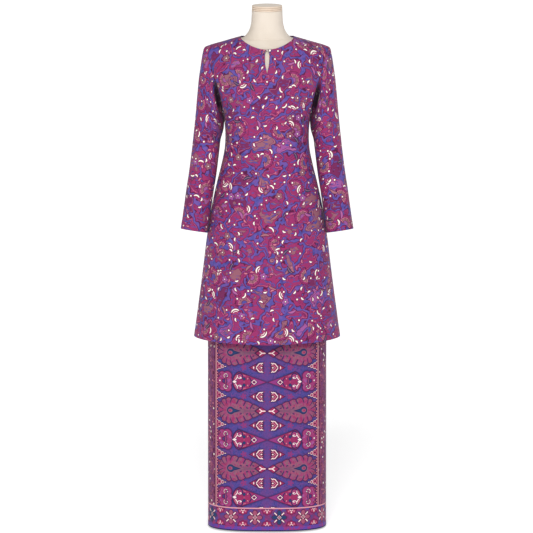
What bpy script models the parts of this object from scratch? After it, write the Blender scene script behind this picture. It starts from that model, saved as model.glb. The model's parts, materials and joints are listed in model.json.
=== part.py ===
"""A baju kurung, tunic and straight kain, on a limbless dress form with its stand.

Metres, +Z up. The garment's front faces -Y, the wearer's left is +X, and the origin lies on
the floor under the middle of the stand. Every cloth piece is a thin wall built over rows of
sections, each piece a solid of its own with a narrow seam gap to the next.
"""

import math

import bmesh
import bpy
import numpy as np

# Cloth
WALL = 0.0015
SEAM = 0.0003
FORM_ROUNDNESS = 2.25

# Heights of the tunic's landmarks
TUNIC_HEM = 0.580
ARMPIT = 1.255
SHOULDER_TIP = 1.455
NECK_SIDE = 1.485
FRONT_NECK = 1.455
BACK_NECK = 1.474

# Half widths of the shoulder and of the neckline, and the armhole's half depths
SHOULDER_HALF = 0.184
NECKLINE_HALF = 0.080
ARMHOLE_FRONT = 0.053
ARMHOLE_BACK = 0.054

# Tunic from the hem to the armpit: height, half width
TUNIC_WIDTHS = (
    (0.580, 0.2192),
    (0.661, 0.2085),
    (0.758, 0.1955),
    (0.831, 0.1865),
    (0.880, 0.1805),
    (0.929, 0.1730),
    (0.978, 0.1645),
    (1.026, 0.1545),
    (1.075, 0.1425),
    (1.124, 0.1310),
    (1.165, 0.1250),
    (1.195, 0.1243),
    (1.225, 0.1262),
    (1.255, 0.1305),
)
# Tunic from the hem to the neck: height, depth in front, depth behind
TUNIC_DEPTHS = (
    (0.580, 0.1600, 0.1600),
    (0.661, 0.1520, 0.1545),
    (0.758, 0.1420, 0.1495),
    (0.831, 0.1340, 0.1460),
    (0.880, 0.1285, 0.1425),
    (0.929, 0.1235, 0.1365),
    (0.978, 0.1180, 0.1280),
    (1.026, 0.1120, 0.1170),
    (1.075, 0.1050, 0.1060),
    (1.124, 0.0970, 0.0945),
    (1.165, 0.0940, 0.0885),
    (1.210, 0.0985, 0.0875),
    (1.255, 0.1085, 0.0915),
    (1.300, 0.1165, 0.0980),
    (1.330, 0.1170, 0.1020),
    (1.360, 0.1110, 0.1045),
    (1.390, 0.1010, 0.1040),
    (1.420, 0.0885, 0.0985),
    (1.440, 0.0795, 0.0910),
    (1.455, 0.0720, 0.0825),
    (1.470, 0.0655, 0.0720),
    (1.485, 0.0590, 0.0585),
)
# Armhole as seen from the front: height, distance from the middle
ARMHOLE_LINE = (
    (1.255, 0.1305),
    (1.291, 0.1365),
    (1.329, 0.1455),
    (1.368, 0.1560),
    (1.410, 0.1690),
    (1.440, 0.1790),
    (1.455, 0.1840),
)
# Height and roundness of the tunic's sections: 2 is an ellipse, less is pointed at the sides
TUNIC_ROUNDNESSES = (
    (0.580, 1.58),
    (0.780, 1.88),
    (0.980, 2.15),
    (1.165, 2.25),
    (1.485, 2.25),
)
PANEL_COLUMNS = 24
NECK_COLUMNS = 12
SHOULDER_COLUMNS = (PANEL_COLUMNS - NECK_COLUMNS) // 2
BODY_ROWS = 12
BODY_ROW_POWER = 1.35
CHEST_ROWS = 16
# Spaces the chest rows at the middle so that one of them ends the keyhole slit
MIDDLE_ROW_POWER = 1.51
# Spaces the chest rows at the sides, close to the armpit and close to the shoulder
ARMPIT_ROW_POWER = 1.8
SHOULDER_ROW_POWER = 2.2
# Shares of the half panel between which the middle's spacing gives way to the sides'
ROW_CHANGE = (0.2, 0.7)
# How narrowly the pull of the armhole's line on a chest row keeps to the row's ends
ARMHOLE_PULL_POWER = 3
# Points along a curve before it is cut into even columns
CURVE_SAMPLES = 721

# Soft flutes of the flared hem: how many on half the hem, how deep, and where they start
HEM_FLUTES = 3.0
FLUTE_DEPTH = 0.0025
FLUTE_TOP = 0.900
FLUTE_POWER = 1.5

# Keyhole slit: depth under the neckline, half width there
KEYHOLE = (
    (0.000, 0.0028),
    (0.003, 0.0040),
    (0.008, 0.0062),
    (0.015, 0.0069),
    (0.027, 0.0072),
    (0.042, 0.0059),
    (0.054, 0.0034),
    (0.065, 0.0000),
)
# Share of the slit's length at which a row counts as its closed end
KEYHOLE_CLOSED = 0.97

# Sleeve tube: height, distance out, forward shift, half width, half depth
SLEEVE_STATIONS = (
    (1.173, 0.1805, 0.004, 0.0405, 0.0500),
    (1.124, 0.1862, 0.007, 0.0405, 0.0485),
    (1.075, 0.1925, 0.010, 0.0405, 0.0465),
    (1.026, 0.2005, 0.015, 0.0404, 0.0450),
    (0.978, 0.2072, 0.020, 0.0403, 0.0437),
    (0.929, 0.2143, 0.026, 0.0401, 0.0425),
    (0.905, 0.2180, 0.029, 0.0400, 0.0420),
)
CAP_RINGS = 9
CAP_RING_POWER = 1.25
CAP_PULL = 0.040
SLEEVE_GAP = 0.00033
# Direction in which the sleeve leaves the armhole: at the shoulder, at the side and underarm
LEAVES_SHOULDER = (0.956, 0.0, -0.294)
LEAVES_SIDE = (0.85, 0.10, -0.52)
LEAVES_UNDERARM = (0.17, 0.0, -0.985)
LEAVES_POWER = 1.5
# Passes that even out the panels' normals round the armhole
ARMHOLE_PASSES = 4

# Kain: height, half width, depth in front, depth behind, roundness
KAIN_SECTIONS = (
    (0.005, 0.1775, 0.1180, 0.1180, 2.75),
    (0.300, 0.1775, 0.1190, 0.1200, 2.65),
    (0.580, 0.1775, 0.1190, 0.1230, 2.45),
    (0.750, 0.1750, 0.1160, 0.1220, 2.25),
    (0.850, 0.1680, 0.1110, 0.1195, 2.25),
    (0.920, 0.1590, 0.1070, 0.1155, 2.25),
    (0.980, 0.1490, 0.1030, 0.1100, 2.25),
    (1.030, 0.1385, 0.0985, 0.1030, 2.25),
    (1.080, 0.1265, 0.0935, 0.0935, 2.25),
)
KAIN_COLUMNS = 22
KAIN_ROWS = 11

# Waistband of the kain
BAND_TOP = 1.110
BAND_WALL = 0.0020
BAND_GAP = 0.000675
BAND_LEAN = 0.07
BAND_SEGMENTS = 40

# Dress form: height, half width, depth in front, depth behind
FORM_BELLY = (
    (0.790, 0.1150, 0.0780, 0.0860),
    (0.800, 0.1320, 0.0900, 0.0980),
    (0.830, 0.1440, 0.0980, 0.1070),
    (0.880, 0.1500, 0.1010, 0.1110),
    (0.980, 0.1400, 0.0975, 0.1050),
    (1.050, 0.1280, 0.0935, 0.0955),
    (1.081, 0.1250, 0.0920, 0.0920),
    (1.109, 0.1230, 0.0900, 0.0900),
    (1.165, 0.1180, 0.0870, 0.0815),
    (1.210, 0.1185, 0.0910, 0.0805),
    (1.255, 0.1230, 0.1005, 0.0840),
    (1.310, 0.1340, 0.1095, 0.0925),
    (1.350, 0.1455, 0.1060, 0.0970),
    (1.390, 0.1570, 0.0945, 0.0975),
    (1.420, 0.1650, 0.0815, 0.0920),
    (1.440, 0.1690, 0.0730, 0.0845),
    (1.450, 0.1700, 0.0670, 0.0780),
)
FORM_NECK = (
    (1.4820, 0.0745, 0.0500, 0.0510),
    (1.4880, 0.0670, 0.0495, 0.0500),
    (1.4960, 0.0600, 0.0485, 0.0490),
    (1.5050, 0.0545, 0.0478, 0.0482),
    (1.5150, 0.0508, 0.0470, 0.0473),
    (1.5260, 0.0480, 0.0465, 0.0465),
    (1.5440, 0.0464, 0.0458, 0.0458),
    (1.5640, 0.0458, 0.0455, 0.0455),
)
FORM_SEGMENTS = 40
FORM_UNDER_RIDGE = 0.0018
FORM_RIDGE_STEPS = 6
FORM_RIDGE_INSETS = (0.0045, 0.0095)
FORM_RIDGE_START = 0.001
FORM_RIDGE_STOP = 0.003

# Neck cap, pearl button and loop
CAP_RADIUS = 0.0455
CAP_HEIGHT = 0.0155
CAP_GROOVE = 0.0008
CAP_CHAMFER = 0.0010
# Rounded top edge and low dome of the cap, from its radius and height
CAP_EDGE = ((0.0, -0.0025), (-0.0008, -0.0008), (-0.0030, 0.0))
CAP_DOME = ((0.5, 0.0008), (0.0, 0.0010))
PEARL_RADIUS = 0.0036
PEARL_FLAT = math.radians(-62)
PEARL_STEPS = 10
PEARL_OUT = 0.0080
PEARL_BELOW_NECK = 0.0036
LOOP_RADIUS = 0.0006
LOOP_BEND = 0.0042
LOOP_WRAP = math.radians(100)
LOOP_END = -0.0050
LOOP_END_BEND = 0.0012

# Stand
BASE_RADIUS = 0.092
BASE_HEIGHT = 0.012
BASE_CHAMFER = 0.002
POLE_RADIUS = 0.0125
FLANGE_RADIUS = 0.055
FLANGE_HEIGHT = 0.006
COLLAR_RADIUS = 0.020
COLLAR_HEIGHT = 0.040

CLOTH_SHARP = math.radians(40)
TURNED_SHARP = math.radians(35)

COLOURS = {
    "tunic": (0.27, 0.07, 0.24),
    "kain": (0.12, 0.08, 0.30),
    "form": (0.83, 0.77, 0.68),
    "cap": (0.72, 0.56, 0.42),
    "pearl": (0.90, 0.88, 0.84),
    "loop": (0.10, 0.05, 0.10),
    "stand": (0.78, 0.78, 0.78),
}


def clear_scene():
    for obj in list(bpy.data.objects):
        bpy.data.objects.remove(obj)


def material(name, roughness, metallic=0.0):
    mat = bpy.data.materials.new(name)
    mat.use_nodes = True
    shader = mat.node_tree.nodes["Principled BSDF"]
    shader.inputs["Base Color"].default_value = (*COLOURS[name], 1.0)
    shader.inputs["Roughness"].default_value = roughness
    shader.inputs["Metallic"].default_value = metallic
    return mat


def smooth_column(table, column):
    """A function of the table's first column that passes smoothly through another one."""
    rows = sorted(table)
    x = np.array([row[0] for row in rows])
    y = np.array([row[column] for row in rows])
    steps = np.diff(y) / np.diff(x)
    slope = np.zeros(len(x))
    slope[0], slope[-1] = steps[0], steps[-1]
    for i in range(1, len(x) - 1):
        before, after = steps[i - 1], steps[i]
        if before * after > 0:
            slope[i] = 2 * before * after / (before + after)

    def value(at):
        at = np.clip(at, x[0], x[-1])
        i = np.clip(np.searchsorted(x, at) - 1, 0, len(x) - 2)
        width = x[i + 1] - x[i]
        t = (at - x[i]) / width
        return (
            y[i] * (1 + 2 * t) * (1 - t) ** 2
            + slope[i] * width * t * (1 - t) ** 2
            + y[i + 1] * t * t * (3 - 2 * t)
            + slope[i + 1] * width * t * t * (t - 1)
        )

    return value


TUNIC_WIDTH = smooth_column(TUNIC_WIDTHS, 1)
TUNIC_ROUNDNESS = smooth_column(TUNIC_ROUNDNESSES, 1)
TUNIC_DEPTH = {-1: smooth_column(TUNIC_DEPTHS, 1), 1: smooth_column(TUNIC_DEPTHS, 2)}
ARMHOLE_OUT = smooth_column(ARMHOLE_LINE, 1)
ARMHOLE_DEPTH = {-1: ARMHOLE_FRONT, 1: ARMHOLE_BACK}
KEYHOLE_HALF = smooth_column(KEYHOLE, 1)
KEYHOLE_LENGTH = KEYHOLE[-1][0]
NECK_LOW = {-1: FRONT_NECK, 1: BACK_NECK}


def share_across(x, half_width, roundness):
    """How deep a section is at x, as a share of its depth in the middle."""
    inside = 1 - np.clip(np.abs(x) / half_width, 0, 1) ** np.maximum(roundness, 2)
    return inside ** (1 / roundness)


def half_section(half_width, depth, roundness, side, columns):
    """Points evenly spaced along half a section, from -X to +X. side is -1 in front, 1 behind."""
    angle = np.linspace(-math.pi / 2, math.pi / 2, CURVE_SAMPLES)
    x = np.sign(angle) * half_width * np.abs(np.sin(angle)) ** (2 / max(roundness, 2))
    y = side * depth * np.cos(angle).clip(0) ** (2 / roundness)
    run = np.concatenate([[0], np.cumsum(np.hypot(np.diff(x), np.diff(y)))])
    at = np.linspace(0, run[-1], columns + 1)
    return np.interp(at, run, x), np.interp(at, run, y)


def armhole_depth(z, side):
    """How far the armhole's edge lies in front of or behind the shoulder line."""
    middle = (ARMPIT + SHOULDER_TIP) / 2
    half = (SHOULDER_TIP - ARMPIT) / 2
    return ARMHOLE_DEPTH[side] * np.sqrt(np.clip(1 - ((z - middle) / half) ** 2, 0, 1))


def ridge_half_width(z):
    """Distance out of the shoulder seam at a height between the shoulder's tip and the neck."""
    slope = (SHOULDER_HALF - NECKLINE_HALF) / (NECK_SIDE - SHOULDER_TIP)
    return SHOULDER_HALF - (z - SHOULDER_TIP) * slope


def chest_half_width(z, side):
    """Half width of the whole section at a height above the armpit, past the armhole's edge."""
    depth = TUNIC_DEPTH[side](z)
    roundness = TUNIC_ROUNDNESS(z)
    share = (armhole_depth(z, side) / depth) ** roundness
    past = ARMHOLE_OUT(z) / (1 - share) ** (1 / roundness)
    return np.where(z < SHOULDER_TIP, past, ridge_half_width(z))


def flute(z, shares):
    """Outward push of the flared hem's soft waves, none at the side seams."""
    low = np.clip((FLUTE_TOP - z) / (FLUTE_TOP - TUNIC_HEM), 0, 1)
    fade = np.sin(math.pi * (shares + 1) / 2)
    return FLUTE_DEPTH * low**FLUTE_POWER * fade * np.cos(math.pi * HEM_FLUTES * shares)


def neckline(side):
    """The neckline from -X to +X as x and z, its points evenly spaced over the body."""
    turn = np.linspace(-math.pi / 2, math.pi / 2, CURVE_SAMPLES)
    x = NECKLINE_HALF * np.sin(turn)
    z = NECK_SIDE - (NECK_SIDE - NECK_LOW[side]) * np.cos(turn) ** 2
    y = TUNIC_DEPTH[side](z) * share_across(x, ridge_half_width(z), TUNIC_ROUNDNESS(z))
    steps = np.sqrt(np.diff(x) ** 2 + np.diff(y) ** 2 + np.diff(z) ** 2)
    run = np.concatenate([[0], np.cumsum(steps)])
    at = np.linspace(0, run[-1], NECK_COLUMNS + 1)
    return np.interp(at, run, x), np.interp(at, run, z)


def tunic_top(side):
    """Shoulder seam, neckline and shoulder seam of a panel, from -X to +X, as x and z."""
    up = np.linspace(0, 1, SHOULDER_COLUMNS + 1)[:-1]
    left_x = -SHOULDER_HALF + up * (SHOULDER_HALF - NECKLINE_HALF)
    left_z = SHOULDER_TIP + up * (NECK_SIDE - SHOULDER_TIP)
    neck_x, neck_z = neckline(side)
    x = np.concatenate([left_x, neck_x, -left_x[::-1]])
    z = np.concatenate([left_z, neck_z, left_z[::-1]])
    return x, z


def chest_rise(up, across):
    """How far up its column each point of a chest row lies.

    Towards the sides the rows lie close at the armpit and the shoulder, where the edge turns.
    """
    low, high = up**ARMPIT_ROW_POWER, (1 - up) ** SHOULDER_ROW_POWER
    at_side = low / (low + high)
    at_middle = 1 - (1 - up) ** MIDDLE_ROW_POWER
    start, end = ROW_CHANGE
    side = np.clip((np.abs(across) - start) / (end - start), 0, 1)
    side = side * side * (3 - 2 * side)
    return at_middle + (at_side - at_middle) * side


def tunic_surface(side):
    """The middle of a tunic panel's wall as rows of points from the hem to the shoulders."""
    shares = np.linspace(-1, 1, PANEL_COLUMNS + 1)
    rows = []
    for up in np.linspace(0, 1, BODY_ROWS + 1):
        z = ARMPIT - (ARMPIT - TUNIC_HEM) * (1 - up) ** BODY_ROW_POWER
        sizes = TUNIC_WIDTH(z), TUNIC_DEPTH[side](z), TUNIC_ROUNDNESS(z)
        x, y = half_section(*sizes, side, PANEL_COLUMNS)
        push = 1 + flute(z, shares) / np.hypot(x, y)
        rows.append(np.stack([x * push, y * push, np.full_like(x, z)], axis=1))
    bottom_x = rows[-1][:, 0]
    top_x, top_z = tunic_top(side)
    edge = np.abs(shares) ** ARMHOLE_PULL_POWER
    for v in np.linspace(0, 1, CHEST_ROWS + 1)[1:]:
        rise = chest_rise(v, shares)
        z = ARMPIT + (top_z - ARMPIT) * rise
        x = bottom_x + (top_x - bottom_x) * rise
        x = x + np.sign(x) * edge * (ARMHOLE_OUT(z[0]) - abs(x[0]))
        half = chest_half_width(z, side)
        y = side * TUNIC_DEPTH[side](z) * share_across(x, half, TUNIC_ROUNDNESS(z))
        if v == 1:
            y[: SHOULDER_COLUMNS + 1] = 0
            y[-SHOULDER_COLUMNS - 1 :] = 0
        rows.append(np.stack([x, y, z], axis=1))
    return np.array(rows)


def grid_normals(grid, closed=False):
    """Unit normals of a grid of points, rows by columns, across its rows and columns."""
    along = np.gradient(grid, axis=0)
    if closed:
        across = np.roll(grid, -1, axis=1) - np.roll(grid, 1, axis=1)
    else:
        across = np.gradient(grid, axis=1)
    normal = np.cross(across, along)
    return normal / np.linalg.norm(normal, axis=2, keepdims=True)


def into_seam_plane(normals):
    """Turns normals on a side or shoulder seam into the seam's plane."""
    normals[..., 1] = 0
    return normals / np.linalg.norm(normals, axis=-1, keepdims=True)


def tunic_normals(grid, side):
    normals = grid_normals(grid) * -side
    normals[: BODY_ROWS + 1, 0] = into_seam_plane(normals[: BODY_ROWS + 1, 0])
    normals[: BODY_ROWS + 1, -1] = into_seam_plane(normals[: BODY_ROWS + 1, -1])
    for seam in (slice(SHOULDER_COLUMNS + 1), slice(-SHOULDER_COLUMNS - 1, None)):
        normals[-1, seam] = into_seam_plane(normals[-1, seam])
    return normals


def finish(shell, name, mat, sharp):
    """Turns a closed shell's faces outwards and links it as an object."""
    bmesh.ops.recalc_face_normals(shell, faces=shell.faces)
    if shell.calc_volume(signed=True) < 0:
        bmesh.ops.reverse_faces(shell, faces=shell.faces)
    mesh = bpy.data.meshes.new(name)
    shell.to_mesh(mesh)
    shell.free()
    mesh.shade_smooth()
    mesh.set_sharp_from_angle(angle=sharp)
    obj = bpy.data.objects.new(name, mesh)
    obj.data.materials.append(mat)
    bpy.context.scene.collection.objects.link(obj)
    return obj


def add_object(name, points, faces, mat):
    shell = bmesh.new()
    verts = [shell.verts.new(point) for point in points]
    for face in faces:
        shell.faces.new([verts[i] for i in face])
    finish(shell, name, mat, CLOTH_SHARP)


def walled(name, grid, normals, wall, mat, closed=False, slit=None):
    """A cloth wall round a grid of points. closed joins the last column to the first.

    slit gives a half width for each row of the middle column: those above zero are cut open.
    """
    rows, columns = grid.shape[:2]
    outer = grid + normals * wall / 2
    inner = grid - normals * wall / 2
    verts, index = [], {}
    for skin, points in enumerate((outer, inner)):
        for r in range(rows):
            for c in range(columns):
                cut = slit is not None and c == columns // 2 and slit[r] > 0
                for half in (-1, 1) if cut else (0,):
                    point = points[r, c].copy()
                    if cut:
                        point[0] = half * slit[r]
                    for key in (half,) if cut else (-1, 1):
                        index[skin, r, c, key] = len(verts)
                    verts.append(point)

    def at(skin, r, c, half):
        """half is 1 for the cell to the right of column c, -1 for the cell to its left."""
        return index[skin, r, c % columns, half]

    faces = []
    last = columns if closed else columns - 1
    for r in range(rows - 1):
        for c in range(last):
            for skin in (0, 1):
                quad = [
                    at(skin, r, c, 1),
                    at(skin, r, c + 1, -1),
                    at(skin, r + 1, c + 1, -1),
                    at(skin, r + 1, c, 1),
                ]
                faces.append(quad if skin == 0 else quad[::-1])
    open_edges = []  # cells along the wall's free edges, closed by a strip of faces
    for c in range(last):
        open_edges.append(((0, c, 1), (0, c + 1, -1)))
        open_edges.append(((rows - 1, c, 1), (rows - 1, c + 1, -1)))
    if not closed:
        for r in range(rows - 1):
            open_edges.append(((r, 0, 1), (r + 1, 0, 1)))
            open_edges.append(((r, columns - 1, -1), (r + 1, columns - 1, -1)))
    if slit is not None:
        middle = columns // 2
        for r in range(rows - 1):
            if slit[r + 1] > 0:
                open_edges.append(((r, middle, -1), (r + 1, middle, -1)))
                open_edges.append(((r, middle, 1), (r + 1, middle, 1)))
    for first, second in open_edges:
        faces.append([at(0, *first), at(0, *second), at(1, *second), at(1, *first)])
    add_object(name, verts, faces, mat)


def keyhole_slit(grid):
    """Half width of the slit at each row of the front panel's middle column."""
    below = grid[-1, PANEL_COLUMNS // 2, 2] - grid[:, PANEL_COLUMNS // 2, 2]
    return np.where(below < KEYHOLE_LENGTH * KEYHOLE_CLOSED, KEYHOLE_HALF(below), 0)


def tunic_panel(name, side, panel, mat):
    grid, normals = panel
    seamed = grid.copy()
    seamed[: BODY_ROWS + 1, (0, -1), 1] += side * SEAM / 2
    for seam in (slice(SHOULDER_COLUMNS + 1), slice(-SHOULDER_COLUMNS - 1, None)):
        seamed[-1, seam, 1] += side * SEAM / 2
    slit = keyhole_slit(grid) if side < 0 else None
    walled(name, seamed, normals, WALL, mat, slit=slit)


def unit(vectors):
    return vectors / np.linalg.norm(vectors, axis=-1, keepdims=True)


def armhole_rows():
    return slice(BODY_ROWS, BODY_ROWS + CHEST_ROWS + 1)


def armhole_loop(front, back):
    """The armhole on +X, from the shoulder down the front and up the back.

    Gives its points, the panels' normals there and the directions straight off the panels.
    """
    rows = armhole_rows()
    points, facing = (
        np.concatenate([f[rows, -1][::-1], b[rows, -1][1:-1]])
        for f, b in zip(front, back)
    )
    run = np.roll(points, -1, axis=0) - np.roll(points, 1, axis=0)
    return points, facing, unit(np.cross(facing, run))


def match_armholes(front, back):
    """Evens out the panels' normals round the armholes, so that the sleeves can follow them."""
    rows = armhole_rows()
    slope = (NECK_SIDE - SHOULDER_TIP) / (SHOULDER_HALF - NECKLINE_HALF)
    points, facing, _ = armhole_loop(front, back)
    run = unit(np.roll(points, -1, axis=0) - np.roll(points, 1, axis=0))
    for _ in range(ARMHOLE_PASSES):
        facing[0] = (slope, 0, 1)
        facing[CHEST_ROWS] = (1, 0, 0)
        facing = unit(facing)
        facing = np.roll(facing, 1, axis=0) + 2 * facing + np.roll(facing, -1, axis=0)
    facing[0] = (slope, 0, 1)
    facing[CHEST_ROWS] = (1, 0, 0)
    facing = unit(facing - run * (facing * run).sum(axis=1, keepdims=True))
    mirror = np.array([-1, 1, 1])
    from_armpit = facing[: CHEST_ROWS + 1][::-1]
    front[1][rows, -1], front[1][rows, 0] = from_armpit, from_armpit * mirror
    from_armpit = np.roll(facing, -CHEST_ROWS, axis=0)[: CHEST_ROWS + 1]
    back[1][rows, -1], back[1][rows, 0] = from_armpit, from_armpit * mirror


def sleeve_ring(station, direction, turns):
    """A ring of the sleeve's tube, square to its direction. turns are angles from its outer side."""
    z, out, forward, half_width, half_depth = station
    middle = np.array([out, -forward, z])
    across = np.array([-direction[2], 0, direction[0]])
    across /= np.linalg.norm(across)
    front = np.cross(direction, across)
    front /= np.linalg.norm(front)
    if front[1] > 0:
        front = -front
    return (
        middle
        + np.outer(np.cos(turns), across) * half_width
        + np.outer(np.sin(turns), front) * half_depth
    )


def leaving_directions(turns):
    """Where the sleeve heads as it leaves the armhole, by the turn round it from the shoulder."""
    level = np.cos(turns)[:, None]
    top = np.clip(level, 0, 1) ** LEAVES_POWER
    bottom = np.clip(-level, 0, 1) ** LEAVES_POWER
    side = np.tile(LEAVES_SIDE, (len(turns), 1))
    side[:, 1] *= -np.sign(np.sin(turns))
    shoulder, underarm = np.array(LEAVES_SHOULDER), np.array(LEAVES_UNDERARM)
    return unit(shoulder * top + underarm * bottom + side * (1 - top - bottom))


def sleeve_surface(loop):
    """Rings of the left sleeve, on +X, from the armhole to the cuff."""
    points, facing, out = loop
    around = np.linalg.norm(np.roll(points, -1, axis=0) - points, axis=1)
    run = np.concatenate([[0], np.cumsum(around)[:-1]])
    bottom = run[CHEST_ROWS]
    turns = np.where(
        run <= bottom,
        math.pi * run / bottom,
        math.pi * (1 + (run - bottom) / (around.sum() - bottom)),
    )
    leaves = leaving_directions(turns)
    rise, run_out = (leaves * facing).sum(axis=1), (leaves * out).sum(axis=1)
    fold = np.arctan2(rise, run_out)[:, None]
    first_normals = facing * np.cos(fold) - out * np.sin(fold)
    gap = out * np.cos(fold / 2) + facing * np.sin(fold / 2)
    start = points + gap * (SLEEVE_GAP + WALL * np.sin(fold / 2))

    middles = np.array([(s[1], -s[2], s[0]) for s in SLEEVE_STATIONS])
    directions = np.gradient(middles, axis=0)
    directions /= np.linalg.norm(directions, axis=1, keepdims=True)
    tube = [
        sleeve_ring(station, direction, turns)
        for station, direction in zip(SLEEVE_STATIONS, directions)
    ]
    reach = np.linalg.norm(tube[0] - start, axis=1)[:, None]
    rings = []
    for t in np.linspace(0, 1, CAP_RINGS + 1)[:-1] ** CAP_RING_POWER:
        rings.append(
            start * (1 + 2 * t) * (1 - t) ** 2
            + leaves * CAP_PULL * t * (1 - t) ** 2
            + tube[0] * t * t * (3 - 2 * t)
            + directions[0] * reach * t * t * (t - 1)
        )
    return np.array(rings + tube), first_normals


def outward_normals(grid):
    """Unit normals of a closed tube of rings, facing away from its middle."""
    normals = grid_normals(grid, closed=True)
    middle = grid.mean(axis=1, keepdims=True)
    return normals if ((grid - middle) * normals).sum() > 0 else -normals


def sleeves(front, back, mat):
    grid, first_normals = sleeve_surface(armhole_loop(front, back))
    normals = outward_normals(grid)
    normals[0] = first_normals
    for name, flip in (("sleeve_left", 1), ("sleeve_right", -1)):
        mirror = np.array([flip, 1, 1])
        walled(name, grid * mirror, normals * mirror, WALL, mat, closed=True)


def kain_panels(mat):
    """Front and back panels of the kain, joined at side seams."""
    width, roundness = smooth_column(KAIN_SECTIONS, 1), smooth_column(KAIN_SECTIONS, 4)
    low, high = KAIN_SECTIONS[0][0], KAIN_SECTIONS[-1][0]
    for name, side, column in (("kain_front", -1, 2), ("kain_back", 1, 3)):
        depth = smooth_column(KAIN_SECTIONS, column)
        rows = []
        for z in np.linspace(low, high, KAIN_ROWS + 1):
            x, y = half_section(width(z), depth(z), roundness(z), side, KAIN_COLUMNS)
            rows.append(np.stack([x, y, np.full_like(x, z)], axis=1))
        grid = np.array(rows)
        normals = grid_normals(grid) * -side
        for end in (0, -1):
            normals[:, end] = into_seam_plane(normals[:, end])
            grid[:, end, 1] += side * SEAM / 2
        walled(name, grid, normals, WALL, mat)


def ring_points(half_width, front, back, segments, z):
    """A closed ring, anticlockwise from above, with different depths before and behind."""
    angle = np.arange(segments) * 2 * math.pi / segments
    power = 2 / FORM_ROUNDNESS
    c, s = np.cos(angle), np.sin(angle)
    x = half_width * np.sign(c) * np.abs(c) ** power
    y = np.where(s < 0, front, back) * np.sign(s) * np.abs(s) ** power
    return np.stack([x, y, np.full(segments, z)], axis=1)


def waistband(mat):
    """The kain's band, snug round the form just above the panels."""
    kain_top, half_width, front, back, _ = KAIN_SECTIONS[-1]
    bottom = kain_top + BAND_GAP
    rings = []
    for z in (bottom, BAND_TOP):
        lean = (z - bottom) * BAND_LEAN
        sizes = (half_width - lean, front - lean, back - lean)
        rings.append(ring_points(*sizes, BAND_SEGMENTS, z))
    grid = np.array(rings)
    walled("kain_waistband", grid, outward_normals(grid), BAND_WALL, mat, closed=True)


def form_torso(mat):
    """The padded form: hips, waist, chest, shoulders and neck, closed at both ends."""
    rings = [ring_points(a, f, b, FORM_SEGMENTS, z) for z, a, f, b in FORM_BELLY]
    slope = (NECK_SIDE - SHOULDER_TIP) / (SHOULDER_HALF - NECKLINE_HALF)
    corner = FORM_BELLY[-1][1] - FORM_RIDGE_START
    ridge_start = SHOULDER_TIP - FORM_UNDER_RIDGE + (SHOULDER_HALF - corner) * slope
    ridge_end = NECK_SIDE - FORM_UNDER_RIDGE - FORM_RIDGE_STOP
    inset = np.linspace(*FORM_RIDGE_INSETS, FORM_RIDGE_STEPS)
    for z, less in zip(np.linspace(ridge_start, ridge_end, FORM_RIDGE_STEPS), inset):
        half = ridge_half_width(z + FORM_UNDER_RIDGE)
        front, back = TUNIC_DEPTH[-1](z) - less, TUNIC_DEPTH[1](z) - less
        rings.append(ring_points(half, front, back, FORM_SEGMENTS, z))
    rings += [ring_points(a, f, b, FORM_SEGMENTS, z) for z, a, f, b in FORM_NECK]
    verts = np.concatenate(rings)
    faces = []
    for r in range(len(rings) - 1):
        for c in range(FORM_SEGMENTS):
            n = (c + 1) % FORM_SEGMENTS
            low, high = r * FORM_SEGMENTS, (r + 1) * FORM_SEGMENTS
            faces.append([low + c, low + n, high + n, high + c])
    faces.append(list(range(FORM_SEGMENTS))[::-1])
    top = (len(rings) - 1) * FORM_SEGMENTS
    faces.append(list(range(top, top + FORM_SEGMENTS)))
    add_object("form_torso", verts, faces, mat)


def turned(name, profile, mat, steps=36):
    """A solid of revolution about Z. profile runs from the axis at the bottom to the top."""
    shell = bmesh.new()
    verts = [shell.verts.new((r, 0, z)) for r, z in profile]
    edges = [shell.edges.new(pair) for pair in zip(verts, verts[1:])]
    bmesh.ops.spin(
        shell,
        geom=verts + edges,
        cent=(0, 0, 0),
        axis=(0, 0, 1),
        angle=2 * math.pi,
        steps=steps,
        use_merge=True,
    )
    bmesh.ops.remove_doubles(shell, verts=shell.verts, dist=1e-6)
    return finish(shell, name, mat, TURNED_SHARP)


def neck_cap(mat):
    """The turned cap on the neck: three rings with grooves between, and a low domed top."""
    bottom = FORM_NECK[-1][0] + SEAM
    ring = CAP_HEIGHT / 3
    profile = [(0, 0), (CAP_RADIUS - CAP_CHAMFER, 0), (CAP_RADIUS, CAP_CHAMFER)]
    for groove in (1, 2):
        z = groove * ring
        profile += [
            (CAP_RADIUS, z - CAP_GROOVE),
            (CAP_RADIUS - CAP_GROOVE, z),
            (CAP_RADIUS, z + CAP_GROOVE),
        ]
    profile += [(CAP_RADIUS + out, CAP_HEIGHT + up) for out, up in CAP_EDGE]
    profile += [(CAP_RADIUS * share, CAP_HEIGHT + up) for share, up in CAP_DOME]
    turned("neck_cap", profile, mat).location.z = bottom


def front_frame(x, z):
    """Point on the front panel's middle surface near the neckline, and its outward normal."""
    half = chest_half_width(np.array(z), -1)

    def depth(px, pz):
        return -TUNIC_DEPTH[-1](pz) * share_across(px, half, TUNIC_ROUNDNESS(pz))

    step = 0.0005
    slope_x = (depth(x + step, z) - depth(x - step, z)) / (2 * step)
    slope_z = (depth(x, z + step) - depth(x, z - step)) / (2 * step)
    normal = np.array([slope_x, -1, slope_z])
    return np.array([x, depth(x, z), z]), normal / np.linalg.norm(normal)


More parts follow.
